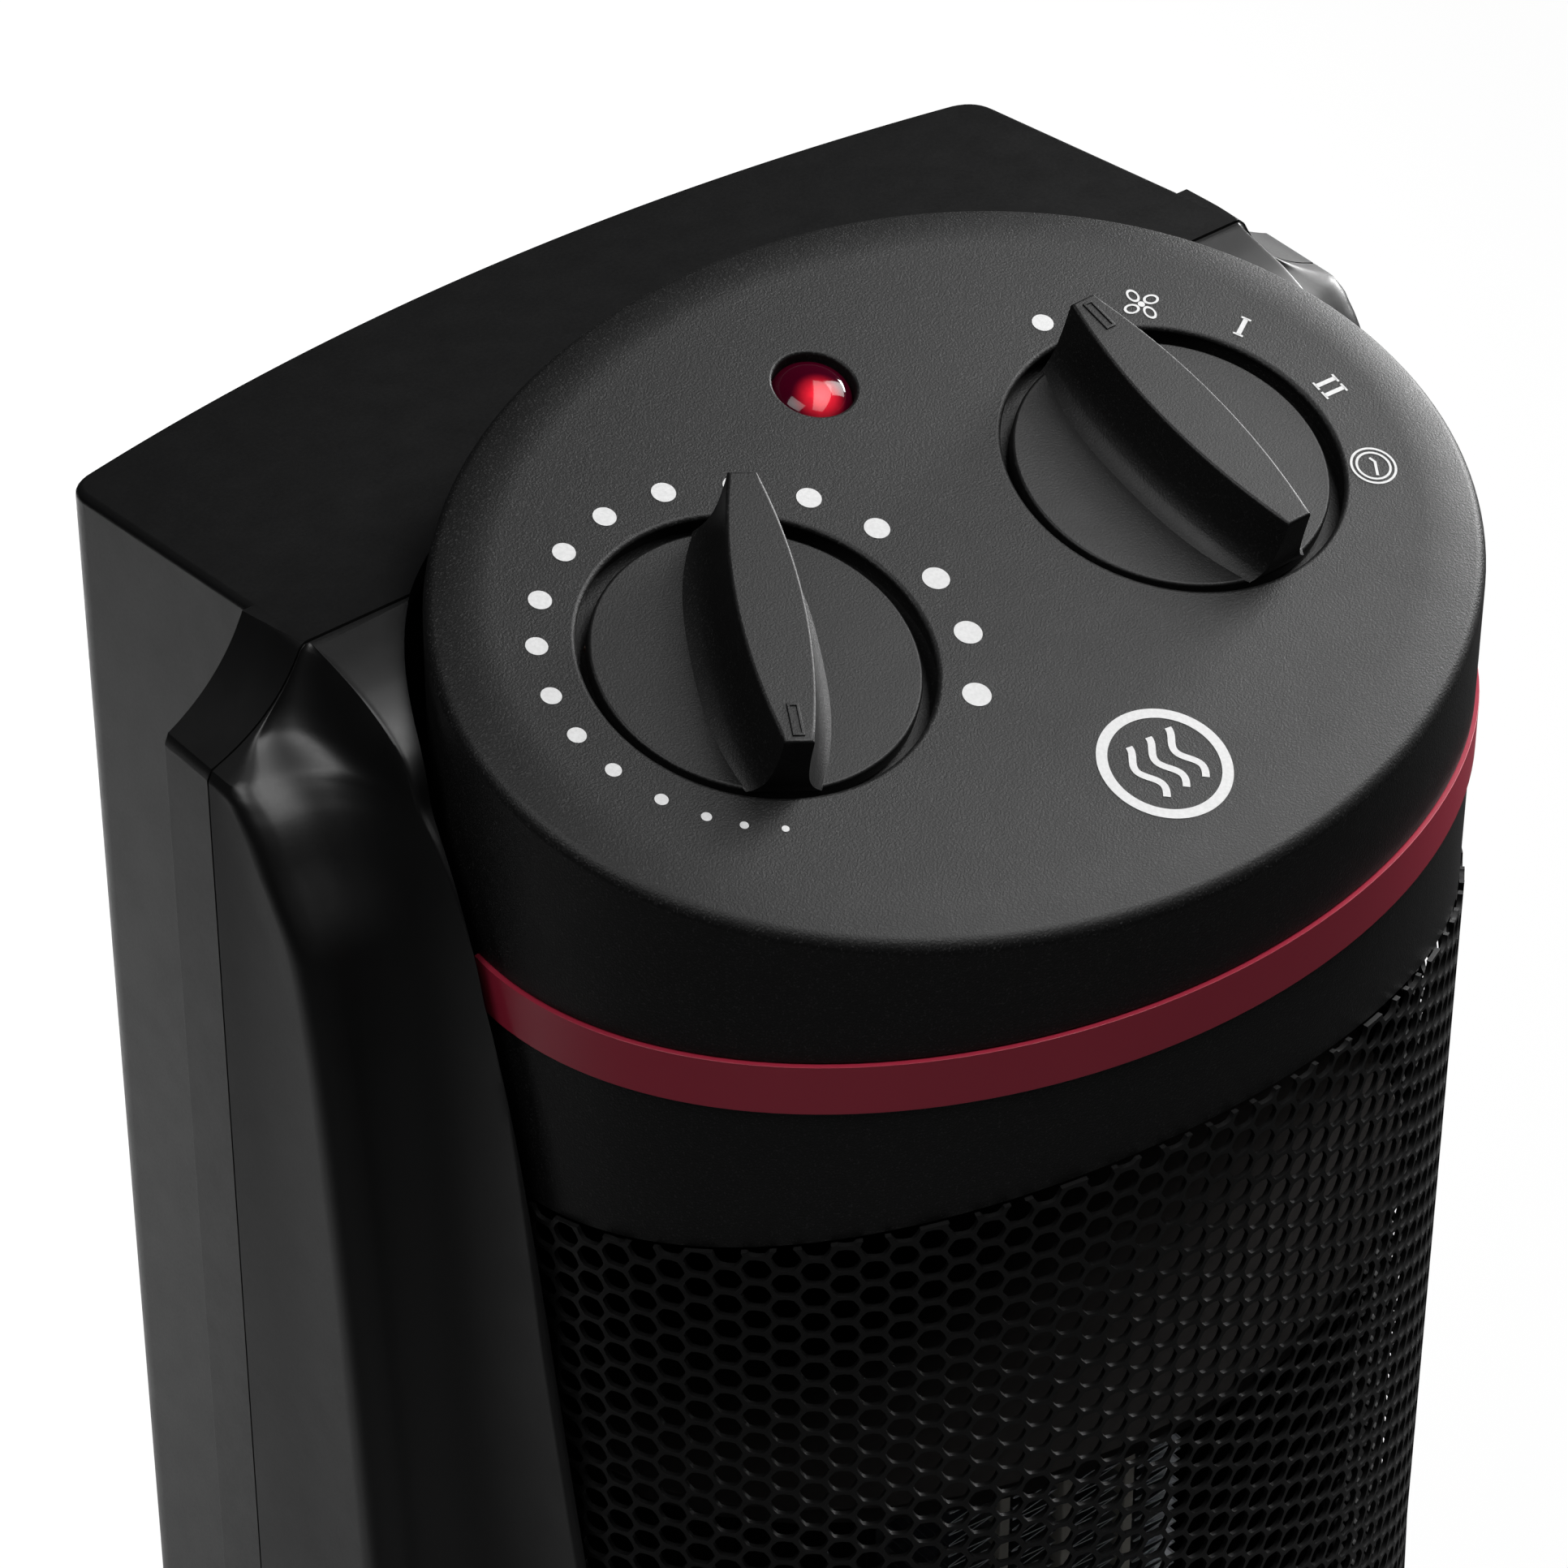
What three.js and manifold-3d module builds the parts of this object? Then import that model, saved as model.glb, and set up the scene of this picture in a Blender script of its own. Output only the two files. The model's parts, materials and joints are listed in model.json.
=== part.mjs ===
// Tower fan heater with a ceramic heating element, on a round base that it swivels on.
// Millimetres, +Z up, the front towards -Y, the origin under the swivel axis on the floor.
import * as THREE from 'three';
import { mergeVertices } from 'three/addons/utils/BufferGeometryUtils.js';
import Module from 'manifold-3d';

const wasm = await Module();
wasm.setup();

const rad = THREE.MathUtils.degToRad;

// Driving dimensions
const GAP = 0.3;
const RUNNING = 0.5;
const OVERRUN = 3;
const WELD = 1e-4;
const WALL = 2.4;
const PANEL_HEIGHT = 382.7;
const PLATE_TILT = rad(15.95);
const COLUMN_HALF_WIDTH = 76.7;
const COLUMN_HALF_DEPTH = 57.4;
const COLUMN_FORWARD = 20.6;
const COLUMN_GROOVE = 2.5;
const SEAM_BEHIND_COLUMN = 36.1;
const TOP_RISE_AT_SEAM = 0.9;
const TOP_FALL = rad(7.2);
const RIDGE_ABOVE_GROOVE = 1;
const REAR_TAPER = 0.8;
const REAR_CORNER_BEHIND_SEAM = 56.9;
const REAR_CORNER_RADIUS = 5;
const REAR_BOW = 9.8;
const FLANGE_PROUD = 15.5;
const FLANGE_THICKNESS = 12.3;
const FLANGE_EDGE = 2.5;
const SWEEP_DROP = 13.3;
const SWEEP_CORNER = 1.5;
const FLANGE_REACH = 37.5;
const FAIRING_HUG_SHARE = 0.6086;
const PANEL_WRAP_SHARE = 0.6;
const RIDGE_LAND = 1.3;

// Control head, stripe, collar and grille
const STRIPE_DROP = 31.9;
const STRIPE_HEIGHT = 8;
const STRIPE_DEPTH = 1.6;
const STRIPE_END = rad(5);
const CAP_WALL = 3.2;
const CAP_EDGE = 2;
const PLATE_THICKNESS = 3;
const COLLAR_DROP = 56.1;
const ARCH_RISE = 10.9;
const GRILLE_THICKNESS = 0.8;
const GRILLE_WRAP = rad(9);
const GRILLE_RISE = 50.8;
const HONEYCOMB_PITCH = 26;
const HONEYCOMB_WEB = 4.6;
const HONEYCOMB_BORDER = 3;
const CHANNEL_DEPTH = 7;

// Knobs and pilot lens
const KNOB_SPACING = 70.6;
const KNOB_AHEAD = 0.7;
const KNOB_RADIUS = 21.9;
const KNOB_WELL_CLEARANCE = 2;
const KNOB_WELL_DEPTH = 1.8;
const SKIRT_HEIGHT = 1;
const GRIP_HEIGHT = 11.8;
const GRIP_HALF_TOP = 4.6;
const GRIP_HALF_END = 1.7;
const GRIP_HALF_BASE = 8.6;
const SHAFT_RADIUS = 3;
const THERMOSTAT_REST = rad(-120.3);
const SELECTOR_REST = rad(91);
const LENS_RADIUS = 5.6;
const LENS_BEHIND = 33;
const LENS_CROWN = 1.6;

// Swivel base
const BASE_RADIUS = 106;
const BASE_RIM = 6;
const BASE_WALL = 2.6;
const DOME_WIDTH = 22;
const FOOT_HEIGHT = 3;
const FOOT_RADIUS = 7;
const FOOT_INSET = 16;
const SCREW_RADIUS = 1.5;
const SCREW_HEAD = 3;
const SCREW_INSET = 34;
const BOSS_RADIUS = 4;
const NECK_RADIUS = 26;
const NECK_BORE = 18;
const NECK_CLEARANCE = 1;
const YOKE_THICKNESS = 3;
const YOKE_RIM = 12;
const CRANK_THICKNESS = 2.6;
const CRANK_RADIUS = 26;
const CRANK_INSET = 39;
const CRANK_HUB = 7;
const CRANK_ARM_HALF = 5;
const CRANK_PIN_RADIUS = 2.5;
const CRANK_PIN_PLAY = 1.9;
const SWIVEL_MOTOR_HEIGHT = 14;
const SWIVEL_MOTOR_RADIUS = 25;
const BEARING_HEIGHT = 4;
const BEARING_INNER = 32;
const BEARING_OUTER = 50;
const GLAND_BORE = 3.4;
const GLAND_RADIUS = 5.2;
const GLAND_FLANGE = 7.5;
const GLAND_HEIGHT = 14;
const PLUNGER_RADIUS = 3;
const PLUNGER_TRAVEL = 5;
const PLUNGER_BEHIND = 60;
const SWITCH_BOX = 16;

// Air path, fan and heating element
const FAN_BEHIND_COLUMN = 33.6;
const FAN_RADIUS = 29;
const FAN_HUB_RADIUS = 7;
const FAN_BLADES = 14;
const FAN_BLADE_DEPTH = 8;
const FAN_BLADE_THICKNESS = 1;
const FAN_DISC = 2;
const FAN_END_PLAY = 3;
const MOTOR_BAY = 70.8;
const DUCT_TOP_DROP = 116.7;
const DUCT_PLATE = 2.6;
const DUCT_WALL = 1.8;
const DUCT_MARGIN = 4.5;
const ELEMENT_AHEAD = 27.4;
const ELEMENT_DEPTH = 14;
const FIN_BANKS = 4;
const FIN_WIDTH = 9.4;
const FIN_FOLDS = 17;
const FIN_THICKNESS = 0.9;
const STRIP_THICKNESS = 1.8;
const ELEMENT_CAP = 8;
const MOTOR_SHAFT_RADIUS = 2;
const MOTOR_BELOW_DUCT = 14;
const STATOR_WIDTH = 58;
const STATOR_DEPTH = 44;
const STATOR_HEIGHT = 18;
const ROTOR_RADIUS = 13;
const ROTOR_CLEARANCE = 0.5;
const COIL_LENGTH = 26;
const BRACKET_THICKNESS = 2;
const BRACKET_STANDOFF = 7;

// Rear of the housing
const WINDOW_HALF_WIDTH = 46;
const WINDOW_MARGIN = 2;
const LOUVRE_COUNT = 9;
const LOUVRE_MARGIN = 5;
const LOUVRE_SLOT_SHARE = 0.6;
const FILTER_THICKNESS = 2;
const GRIP_HALF_WIDTH = 45;
const GRIP_POCKET_HEIGHT = 26;
const GRIP_POCKET_DEPTH = 20;
const GRIP_POCKET_DROP = 54;
const FLANGE_SCREW_DROP = 42;
const FLANGE_SCREW_RISE = 30;
const FLANGE_SCREW_LENGTH = 16;
const FLOOR_THICKNESS = 3;

// Stations of the fairing from the top down, as shares of the housing's height, of the
// flange's reach ahead of the seam and of the fairing's reach ahead of the seam
const FAIRING_STATION_SHARES = [
  [0.0006, 0.004, 0.008],
  [0.0035, 0.004, 0.082],
  [0.0075, 0.004, 0.156],
  [0.0137, 0.005, 0.224],
  [0.021, 0.008, 0.272],
  [0.029, 0.03, 0.297],
  [0.038, 0.16, 0.313],
  [0.049, 0.28, 0.361],
  [0.064, 0.373, 0.416],
  [0.096, 0.547, 0.49],
  [0.167, 0.653, 0.578],
  [0.364, 0.8, 0.714],
  [0.57, 0.907, 0.844],
  [0.8, 0.973, 0.952],
  [1.0, 1.0, 1.0],
];

// Places and levels that follow from the driving dimensions
const HOUSING_HALF_AT_SEAM = COLUMN_HALF_WIDTH + COLUMN_GROOVE + RIDGE_ABOVE_GROOVE;
const HOUSING_HALF_AT_REAR = HOUSING_HALF_AT_SEAM - REAR_TAPER;
const FLANGE_HALF_WIDTH = HOUSING_HALF_AT_SEAM + FLANGE_PROUD;
const DECK_RADIUS = BASE_RADIUS - DOME_WIDTH;
const crankCentre = DECK_RADIUS - CRANK_INSET;
const FOOT_CIRCLE = BASE_RADIUS - FOOT_INSET;
const SCREW_CIRCLE = BASE_RADIUS - SCREW_INSET;
const basePlateTop = FOOT_HEIGHT + BASE_WALL;
const crankBottom = basePlateTop + GAP + SWIVEL_MOTOR_HEIGHT + RUNNING;
const yokeBottom = crankBottom + CRANK_THICKNESS + RUNNING;
const yokeTop = yokeBottom + YOKE_THICKNESS;
const deckBottom = yokeTop + RUNNING;
const deckTop = deckBottom + BASE_WALL;
const floorBottom = deckTop + GAP + BEARING_HEIGHT + GAP;
const floorTop = floorBottom + FLOOR_THICKNESS;
const towerBottom = floorBottom - WALL;
const topAtSeam = PANEL_HEIGHT + TOP_RISE_AT_SEAM;
const housingHeight = topAtSeam - towerBottom;
const columnY = -COLUMN_FORWARD;
const seamY = columnY + SEAM_BEHIND_COLUMN;
const fairingReach = SEAM_BEHIND_COLUMN - GAP + COLUMN_HALF_DEPTH * FAIRING_HUG_SHARE;
const rearCornerY = seamY + REAR_CORNER_BEHIND_SEAM;
const rearY = rearCornerY + REAR_BOW;
const flangeRearY = seamY + FLANGE_THICKNESS;
const stripeTop = PANEL_HEIGHT - STRIPE_DROP;
const stripeBottom = stripeTop - STRIPE_HEIGHT;
const collarLow = PANEL_HEIGHT - COLLAR_DROP;
const collarSide = collarLow - ARCH_RISE;
const grilleBottom = floorTop + GRILLE_RISE;
const panelSide = grilleBottom + ARCH_RISE;
const ductTop = PANEL_HEIGHT - DUCT_TOP_DROP;
const ductBottom = floorTop + MOTOR_BAY;
const fanY = columnY + FAN_BEHIND_COLUMN;
const elementY = columnY - ELEMENT_AHEAD;

// Solid modelling helpers

/** The geometry with only its positions left and its equal corners made one. */
function bare(geometry) {
  const copy = geometry.clone();
  copy.deleteAttribute('normal');
  copy.deleteAttribute('uv');
  return mergeVertices(copy, WELD);
}

/** Turns a closed geometry into a manifold solid. */
function solid(geometry) {
  const merged = bare(geometry);
  return new wasm.Manifold(new wasm.Mesh({
    numProp: 3,
    vertProperties: new Float32Array(merged.attributes.position.array),
    triVerts: new Uint32Array(merged.index.array),
  }));
}

/** Turns a manifold solid back into a geometry with flat shading. */
function geometryOf(body) {
  const mesh = body.getMesh();
  const geometry = new THREE.BufferGeometry();
  geometry.setAttribute('position', new THREE.BufferAttribute(mesh.vertProperties, 3));
  geometry.setIndex(new THREE.BufferAttribute(mesh.triVerts, 1));
  const flat = geometry.toNonIndexed();
  flat.computeVertexNormals();
  return flat;
}

const join = (first, ...others) => others.reduce((sum, part) => sum.add(part), first);
const cut = (first, ...others) => others.reduce((rest, part) => rest.subtract(part), first);

/** A solid box between two corners. */
function block(low, high) {
  const size = new THREE.Vector3(high[0] - low[0], high[1] - low[1], high[2] - low[2]);
  const geometry = new THREE.BoxGeometry(size.x, size.y, size.z);
  geometry.translate(low[0] + size.x / 2, low[1] + size.y / 2, low[2] + size.z / 2);
  return solid(geometry);
}

/** A solid cylinder along Z, or along Y when lying is set. */
function rod(radius, from, to, x, y, lying = false, sides = 20) {
  const geometry = new THREE.CylinderGeometry(radius, radius, to - from, sides);
  if (lying) {
    geometry.translate(x, (from + to) / 2, y);
  } else {
    geometry.rotateX(Math.PI / 2);
    geometry.translate(x, y, (from + to) / 2);
  }
  return solid(geometry);
}

/** A solid made by pushing a plan outline up from one level to another. */
function prism(shape, from, to, curveSegments = 12) {
  const geometry = new THREE.ExtrudeGeometry(shape, {
    depth: to - from, bevelEnabled: false, curveSegments,
  });
  geometry.translate(0, 0, from);
  return solid(geometry);
}

/** A solid made by pushing an outline drawn in X and Z back along Y. */
function backPrism(shape, fromY, toY, curveSegments = 12) {
  const geometry = new THREE.ExtrudeGeometry(shape, {
    depth: toY - fromY, bevelEnabled: false, curveSegments,
  });
  geometry.rotateX(Math.PI / 2);
  geometry.translate(0, toY, 0);
  return solid(geometry);
}

/** A solid turned about Z from a profile of radius and height that starts and ends on the axis. */
function turned(profile, x = 0, y = 0, sides = 32) {
  const points = profile.map(([radius, height]) => new THREE.Vector2(radius, height));
  const geometry = new THREE.LatheGeometry(points, sides);
  geometry.rotateX(Math.PI / 2);
  geometry.translate(x, y, 0);
  const body = solid(geometry);
  return body.volume() < 0 ? solid(flipped(geometry)) : body;
}

/** The same geometry with every face turned over. */
function flipped(geometry) {
  const other = geometry.clone();
  const index = other.index.array;
  for (let i = 0; i < index.length; i += 3) {
    [index[i], index[i + 1]] = [index[i + 1], index[i]];
  }
  return other;
}

/** A solid lofted through rings of equally many points, with flat ends. */
function loft(rings) {
  const count = rings[0].length;
  const positions = rings.flat().flatMap((point) => [point.x, point.y, point.z]);
  const faces = [];
  for (let ring = 0; ring + 1 < rings.length; ring += 1) {
    for (let i = 0; i < count; i += 1) {
      const a = ring * count + i;
      const b = ring * count + (i + 1) % count;
      faces.push([a, b, b + count], [a, b + count, a + count]);
    }
  }
  const outline = rings[0].map((point) => new THREE.Vector2(point.x, point.y));
  const topOutline = rings.at(-1).map((point) => new THREE.Vector2(point.x, point.y));
  const last = (rings.length - 1) * count;
  for (const [a, b, c] of THREE.ShapeUtils.triangulateShape(outline, [])) {
    faces.push([a, c, b]);
  }
  for (const [a, b, c] of THREE.ShapeUtils.triangulateShape(topOutline, [])) {
    faces.push([last + a, last + b, last + c]);
  }
  const geometry = new THREE.BufferGeometry();
  geometry.setAttribute('position', new THREE.Float32BufferAttribute(positions, 3));
  geometry.setIndex(faces.flat());
  const body = solid(geometry);
  return body.volume() < 0 ? solid(flipped(geometry)) : body;
}

/** The same solid reflected in the plane X = 0. */
function mirrored(body) {
  const geometry = geometryOf(body);
  geometry.scale(-1, 1, 1);
  return solid(flipped(bare(geometry)));
}

/** An oval of the column's family, drawn in plan about the column's axis. */
function oval(halfWidth, halfDepth) {
  const shape = new THREE.Shape();
  shape.absellipse(0, columnY, halfWidth, halfDepth, 0, 2 * Math.PI);
  return shape;
}

/** A flat strip of even thickness along a line of plan points. */
function strip(points, thickness) {
  const line = points.map(([x, y]) => new THREE.Vector2(x, y));
  const sides = [[], []];
  line.forEach((point, i) => {
    const before = line[Math.max(i - 1, 0)];
    const after = line[Math.min(i + 1, line.length - 1)];
    const along = after.clone().sub(before).normalize();
    const normal = new THREE.Vector2(-along.y, along.x).multiplyScalar(thickness / 2);
    sides[0].push(point.clone().add(normal));
    sides[1].push(point.clone().sub(normal));
  });
  return new THREE.Shape([...sides[0], ...sides[1].reverse()]);
}

/** A material of one colour. */
function finish(color, roughness, metalness = 0) {
  return new THREE.MeshStandardMaterial({ color, roughness, metalness });
}

const FINISHES = {
  housing: finish(0x17181a, 0.55),
  cap: finish(0x202123, 0.5),
  stripe: finish(0x5c1f30, 0.35),
  knob: finish(0x1d1e20, 0.45),
  grille: finish(0x0b0b0c, 0.4, 0.6),
  lens: finish(0xb3121c, 0.15),
  aluminium: finish(0xb9bcc0, 0.35, 1),
  steel: finish(0x8d9094, 0.35, 1),
  lamination: finish(0x5a5c60, 0.6, 1),
  copper: finish(0x8a4b23, 0.4, 1),
  whitePlastic: finish(0xd8d6cf, 0.6),
  ceramic: finish(0xe6e2d8, 0.7),
  rubber: finish(0x141414, 0.9),
  brass: finish(0xb08d57, 0.35, 1),
  phenolic: finish(0x2a2019, 0.6),
  foam: finish(0x2b2c2e, 0.95),
};

/** A named mesh from a solid or a geometry. */
function piece(name, body, material) {
  const geometry = body.isBufferGeometry ? body : geometryOf(body);
  const mesh = new THREE.Mesh(geometry, material.clone());
  mesh.name = name;
  return mesh;
}

// Outlines and spaces that several pieces share

const SWEEP_BEND_SHARES = [0.31, 0.7];
const SWEEP_STEPS = 6;
const OVAL_STEPS = 18;
const PLAN_STEPS = 6;

/** Points of the flange's concave top edge, as half width and drop below the seam's top. */
function sweepPoints() {
  const width = FLANGE_HALF_WIDTH - SWEEP_CORNER / 2 - HOUSING_HALF_AT_SEAM;
  const [across, down] = SWEEP_BEND_SHARES;
  const curve = new THREE.QuadraticBezierCurve(
    new THREE.Vector2(HOUSING_HALF_AT_SEAM, 0),
    new THREE.Vector2(HOUSING_HALF_AT_SEAM + width * across, SWEEP_DROP * down),
    new THREE.Vector2(HOUSING_HALF_AT_SEAM + width, SWEEP_DROP),
  );
  return [...curve.getPoints(SWEEP_STEPS), new THREE.Vector2(FLANGE_HALF_WIDTH, SWEEP_DROP + SWEEP_CORNER)];
}

/** Half width of the flange at a drop below the seam's top. */
function flangeHalfWidth(drop) {
  const points = sweepPoints();
  const next = points.findIndex((point) => point.y > drop);
  if (next < 1) {
    return next === 0 ? HOUSING_HALF_AT_SEAM : FLANGE_HALF_WIDTH;
  }
  const [low, high] = [points[next - 1], points[next]];
  return THREE.MathUtils.mapLinear(drop, low.y, high.y, low.x, high.x);
}

/** The flange seen from the front, inset by a wall. */
function flangeOutline(inset, bottom) {
  const right = sweepPoints().reverse().map(
    (point) => new THREE.Vector2(point.x - inset, topAtSeam - inset - point.y),
  );
  const above = new THREE.Vector2(HOUSING_HALF_AT_SEAM - inset, topAtSeam + OVERRUN);
  const half = [new THREE.Vector2(FLANGE_HALF_WIDTH - inset, bottom), ...right, above];
  const left = half.map((point) => new THREE.Vector2(-point.x, point.y)).reverse();
  return new THREE.Shape([...half, ...left]);
}

/** The housing seen from above, inset by a wall, from a front line to the bowed rear. */
function housingOutline(inset, frontY) {
  const front = HOUSING_HALF_AT_SEAM - inset;
  const rear = HOUSING_HALF_AT_REAR - inset;
  const corner = REAR_CORNER_RADIUS;
  const cornerY = rearCornerY - inset;
  const bowY = 2 * (rearY - inset) - cornerY;
  const shape = new THREE.Shape();
  shape.moveTo(-front, frontY);
  shape.lineTo(front, frontY);
  shape.lineTo(rear, cornerY - corner);
  shape.quadraticCurveTo(rear, cornerY, rear - corner, cornerY);
  shape.quadraticCurveTo(0, bowY, corner - rear, cornerY);
  shape.quadraticCurveTo(-rear, cornerY, -rear, cornerY - corner);
  return shape;
}

/** All space under the housing's sloping top, lowered by a wall. */
function underTop(inset) {
  const span = 4 * FLANGE_HALF_WIDTH;
  const geometry = new THREE.BoxGeometry(span, span, 2 * housingHeight);
  geometry.translate(0, 0, -housingHeight);
  geometry.rotateX(-TOP_FALL);
  geometry.translate(0, seamY, topAtSeam - inset);
  return solid(geometry);
}

/** An upright oval solid about the column's axis. */
function ovalSolid(inset, from, to) {
  return prism(oval(COLUMN_HALF_WIDTH - inset, COLUMN_HALF_DEPTH - inset), from, to, OVAL_STEPS);
}

/** Height of an arched edge: low at the middle when rise is positive. */
const arch = (middle, rise, x) => middle + rise * (x / COLUMN_HALF_WIDTH) ** 2;

const ARCH_STEPS = 12;

/** All space under an arched edge across the column, seen from the front. */
function underArch(middle, rise, bottom) {
  const half = COLUMN_HALF_WIDTH + OVERRUN;
  const edge = Array.from({ length: ARCH_STEPS + 1 }, (_, i) => {
    const x = half - (2 * half * i) / ARCH_STEPS;
    return new THREE.Vector2(x, arch(middle, rise, x));
  });
  const shape = new THREE.Shape([new THREE.Vector2(-half, bottom), new THREE.Vector2(half, bottom), ...edge]);
  return backPrism(shape, columnY - COLUMN_HALF_DEPTH - OVERRUN, columnY + COLUMN_HALF_DEPTH + OVERRUN);
}

// Rear shell

/** Places of the four screws that hold the rear shell to the front shell. */
function housingScrewPlaces() {
  const x = (HOUSING_HALF_AT_SEAM + FLANGE_HALF_WIDTH) / 2;
  const levels = [topAtSeam - FLANGE_SCREW_DROP, towerBottom + FLANGE_SCREW_RISE];
  return levels.flatMap((z) => [[-x, z], [x, z]]);
}

function housingBody(inset, frontY, bottom) {
  const trunk = prism(housingOutline(inset, frontY), bottom, topAtSeam + OVERRUN, PLAN_STEPS);
  const flange = backPrism(flangeOutline(inset, bottom), frontY, flangeRearY - inset);
  return join(trunk, flange).intersect(underTop(inset));
}

function gripPocket(wall) {
  const top = topAtSeam - GRIP_POCKET_DROP + GRIP_POCKET_HEIGHT / 2;
  const half = GRIP_HALF_WIDTH + wall;
  return block(
    [-half, rearY - GRIP_POCKET_DEPTH - wall, top - GRIP_POCKET_HEIGHT - wall],
    [half, rearY + OVERRUN, top + wall],
  );
}

function intakeWindow(gap) {
  return block(
    [gap - WINDOW_HALF_WIDTH, flangeRearY, ductBottom + WINDOW_MARGIN + gap],
    [WINDOW_HALF_WIDTH - gap, rearY + OVERRUN, ductTop - WINDOW_MARGIN - gap],
  );
}

function rearShell() {
  const outer = housingBody(0, seamY, towerBottom);
  const cavity = housingBody(WALL, seamY - OVERRUN, towerBottom - OVERRUN);
  const columnHole = ovalSolid(-COLUMN_GROOVE, collarSide, topAtSeam + OVERRUN);
  let shell = join(cut(outer, cavity), gripPocket(WALL).intersect(outer));
  for (const [x, z] of housingScrewPlaces()) {
    shell = join(shell, rod(BOSS_RADIUS, seamY, flangeRearY, x, z, true, 10));
  }
  for (const [x, z] of housingScrewPlaces()) {
    const shank = rod(SCREW_RADIUS + GAP, seamY - OVERRUN, flangeRearY + OVERRUN, x, z, true, 10);
    const recess = rod(SCREW_HEAD + GAP, flangeRearY - WALL, flangeRearY + OVERRUN, x, z, true, 10);
    shell = cut(shell, shank, recess);
  }
  return cut(shell, columnHole, gripPocket(0), intakeWindow(0));
}

function intakeGrille() {
  const bottom = ductBottom;
  const skin = cut(
    prism(housingOutline(0, seamY), bottom, ductTop, PLAN_STEPS),
    prism(housingOutline(WALL, seamY - OVERRUN), bottom - OVERRUN, ductTop + OVERRUN, PLAN_STEPS),
  );
  let panel = skin.intersect(intakeWindow(GAP));
  const low = ductBottom + WINDOW_MARGIN + LOUVRE_MARGIN;
  const pitch = (ductTop - ductBottom - 2 * (WINDOW_MARGIN + LOUVRE_MARGIN)) / LOUVRE_COUNT;
  const half = WINDOW_HALF_WIDTH - LOUVRE_MARGIN;
  for (let i = 0; i < LOUVRE_COUNT; i += 1) {
    const z = low + (i + (1 - LOUVRE_SLOT_SHARE) / 2) * pitch;
    for (const side of [-1, 1]) {
      const [x0, x1] = [side * LOUVRE_MARGIN / 2, side * half].sort((a, b) => a - b);
      panel = cut(panel, block([x0, flangeRearY, z], [x1, rearY + OVERRUN, z + pitch * LOUVRE_SLOT_SHARE]));
    }
  }
  return panel;
}

function dustFilter() {
  const half = WINDOW_HALF_WIDTH - GAP;
  const bow = REAR_BOW * (half / (HOUSING_HALF_AT_REAR - REAR_CORNER_RADIUS)) ** 2;
  const backY = rearY - WALL - bow - RUNNING - GAP;
  return block(
    [-half, backY - FILTER_THICKNESS, ductBottom + WINDOW_MARGIN],
    [half, backY, ductTop - WINDOW_MARGIN],
  );
}

// Front shell

const FAIRING_ROOT_SHARE = 0.6;
const FAIRING_BEND_SHARE = 0.12;
const FAIRING_CURVE_STEPS = 4;
const RIDGE_SET_IN = 0.4;

/** Half width of the ridge that runs beside the column, at a place along Y. */
function ridgeHalfWidth(y) {
  const widest = Math.min(COLUMN_HALF_WIDTH + COLUMN_GROOVE + RIDGE_LAND, HOUSING_HALF_AT_SEAM - RIDGE_SET_IN);
  const ahead = Math.max(columnY - y, 0) / (COLUMN_HALF_DEPTH + COLUMN_GROOVE);
  return Math.min(widest, (COLUMN_HALF_WIDTH + COLUMN_GROOVE) * Math.sqrt(1 - ahead ** 2) + RIDGE_LAND);
}

/** One level section of the right fairing, inset by a wall. */
function fairingRing([dropShare, flangeShare, wallShare], inset, backY) {
  const drop = dropShare * housingHeight;
  const z = topAtSeam - drop - inset;
  const outerX = flangeHalfWidth(drop) - inset;
  const flangeY = seamY - GAP - flangeShare * FLANGE_REACH + inset;
  const wallY = seamY - GAP - wallShare * fairingReach + inset;
  const ridgeX = ridgeHalfWidth(wallY - inset) - inset;
  const edge = Math.min(FLANGE_EDGE, (backY - flangeY) / 2, (outerX - ridgeX) / 3);
  const valley = new THREE.QuadraticBezierCurve(
    new THREE.Vector2(outerX - edge, flangeY),
    new THREE.Vector2(ridgeX + (outerX - ridgeX) * FAIRING_BEND_SHARE, flangeY),
    new THREE.Vector2(ridgeX, wallY),
  );
  const rootX = COLUMN_HALF_WIDTH * FAIRING_ROOT_SHARE;
  const outline = [
    [rootX, backY],
    [outerX, backY],
    [outerX, flangeY + edge],
    [outerX - edge / 4, flangeY + edge / 4],
    ...valley.getPoints(FAIRING_CURVE_STEPS).map((point) => [point.x, point.y]),
    [rootX, wallY],
  ];
  return outline.reverse().map(([x, y]) => new THREE.Vector3(x, y, z));
}

/** Both fairings as one pair of solids, inset by a wall. */
function fairings(inset, backY, bottom) {
  const rings = FAIRING_STATION_SHARES.map((share) => fairingRing(share, inset, backY));
  rings.push(rings.at(-1).map((point) => new THREE.Vector3(point.x, point.y, bottom)));
  const right = loft(rings);
  return join(right, mirrored(right));
}

function grilleChannel(side) {
  const y = columnY + COLUMN_HALF_DEPTH * Math.sin(GRILLE_WRAP) + GAP;
  const outerX = COLUMN_HALF_WIDTH + COLUMN_GROOVE;
  const innerX = COLUMN_HALF_WIDTH - COLUMN_GROOVE;
  const [x0, x1] = [side * innerX, side * outerX].sort((a, b) => a - b);
  return block([x0, y, panelSide - WALL], [x1, y + CHANNEL_DEPTH / 2, collarSide - GAP]);
}

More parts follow.
